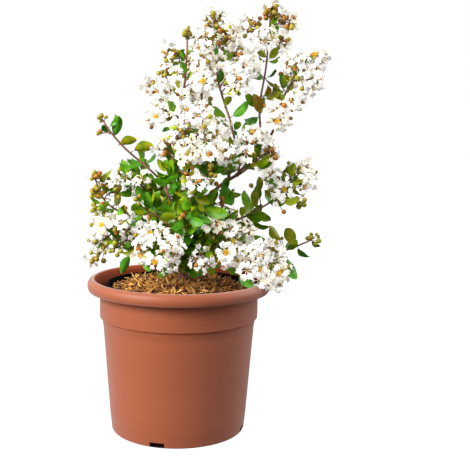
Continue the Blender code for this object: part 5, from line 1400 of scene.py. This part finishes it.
def add_camera():
    data = bpy.data.cameras.new("camera")
    data.sensor_width = SENSOR_WIDTH
    data.lens = SENSOR_WIDTH * FOCAL_PIXELS / IMAGE_SIDE
    camera = add_object("camera", data)
    camera.location = CAMERA_PLACE
    level = math.cos(CAMERA_DOWN)
    ahead = Vector((math.sin(CAMERA_YAW) * level, math.cos(CAMERA_YAW) * level, -math.sin(CAMERA_DOWN)))
    camera.rotation_mode = "QUATERNION"
    camera.rotation_quaternion = ahead.to_track_quat("-Z", "Y") @ Quaternion(UP, CAMERA_ROLL)
    bpy.context.scene.camera = camera


def add_light(name, place, target, size, power, colour):
    data = bpy.data.lights.new(name, "AREA")
    data.size = size
    data.energy = power
    data.color = colour
    light = add_object(name, data)
    light.location = place
    light.rotation_mode = "QUATERNION"
    light.rotation_quaternion = (Vector(target) - Vector(place)).to_track_quat("-Z", "Y")


def add_studio():
    """A white room: a floor that is white in view but gives off no light, an even sky and two soft lights."""
    mesh = bpy.data.meshes.new("floor")
    corners = [(x * FLOOR_REACH, y * FLOOR_REACH, 0) for x, y in ((-1, -1), (1, -1), (1, 1), (-1, 1))]
    mesh.from_pydata(corners, [], [(0, 1, 2, 3)])
    mesh.materials.append(finish_of("floor"))
    tree = mesh.materials[0].node_tree
    shader = tree.nodes["Principled BSDF"]
    shader.inputs["Emission Color"].default_value = WHITE
    view = tree.nodes.new("ShaderNodeLightPath")
    tree.links.new(view.outputs["Is Camera Ray"], shader.inputs["Emission Strength"])
    floor = add_object("floor", mesh)
    world = bpy.data.worlds.new("studio")
    world.use_nodes = True
    nodes, links = world.node_tree.nodes, world.node_tree.links
    sky, seen = nodes["Background"], nodes.new("ShaderNodeBackground")
    for backdrop, strength in ((sky, SKY_LIGHT), (seen, 1.0)):
        backdrop.inputs["Color"].default_value = WHITE
        backdrop.inputs["Strength"].default_value = strength
    path = nodes.new("ShaderNodeLightPath")
    mix = nodes.new("ShaderNodeMixShader")
    links.new(path.outputs["Is Camera Ray"], mix.inputs["Fac"])
    links.new(sky.outputs["Background"], mix.inputs[1])
    links.new(seen.outputs["Background"], mix.inputs[2])
    links.new(mix.outputs["Shader"], nodes["World Output"].inputs["Surface"])
    bpy.context.scene.world = world
    bpy.context.scene.view_settings.view_transform = "Standard"
    for light in LIGHTS:
        add_light(*light)


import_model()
POT_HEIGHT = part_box("pot")[1].z
RIM_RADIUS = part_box("pot")[1].x
grown_limbs = grow_limbs()
make_pot()
make_liner()
make_root_ball()
make_shreds()
make_bark(grown_limbs)
make_foliage(grown_limbs)
add_studio()
add_camera()
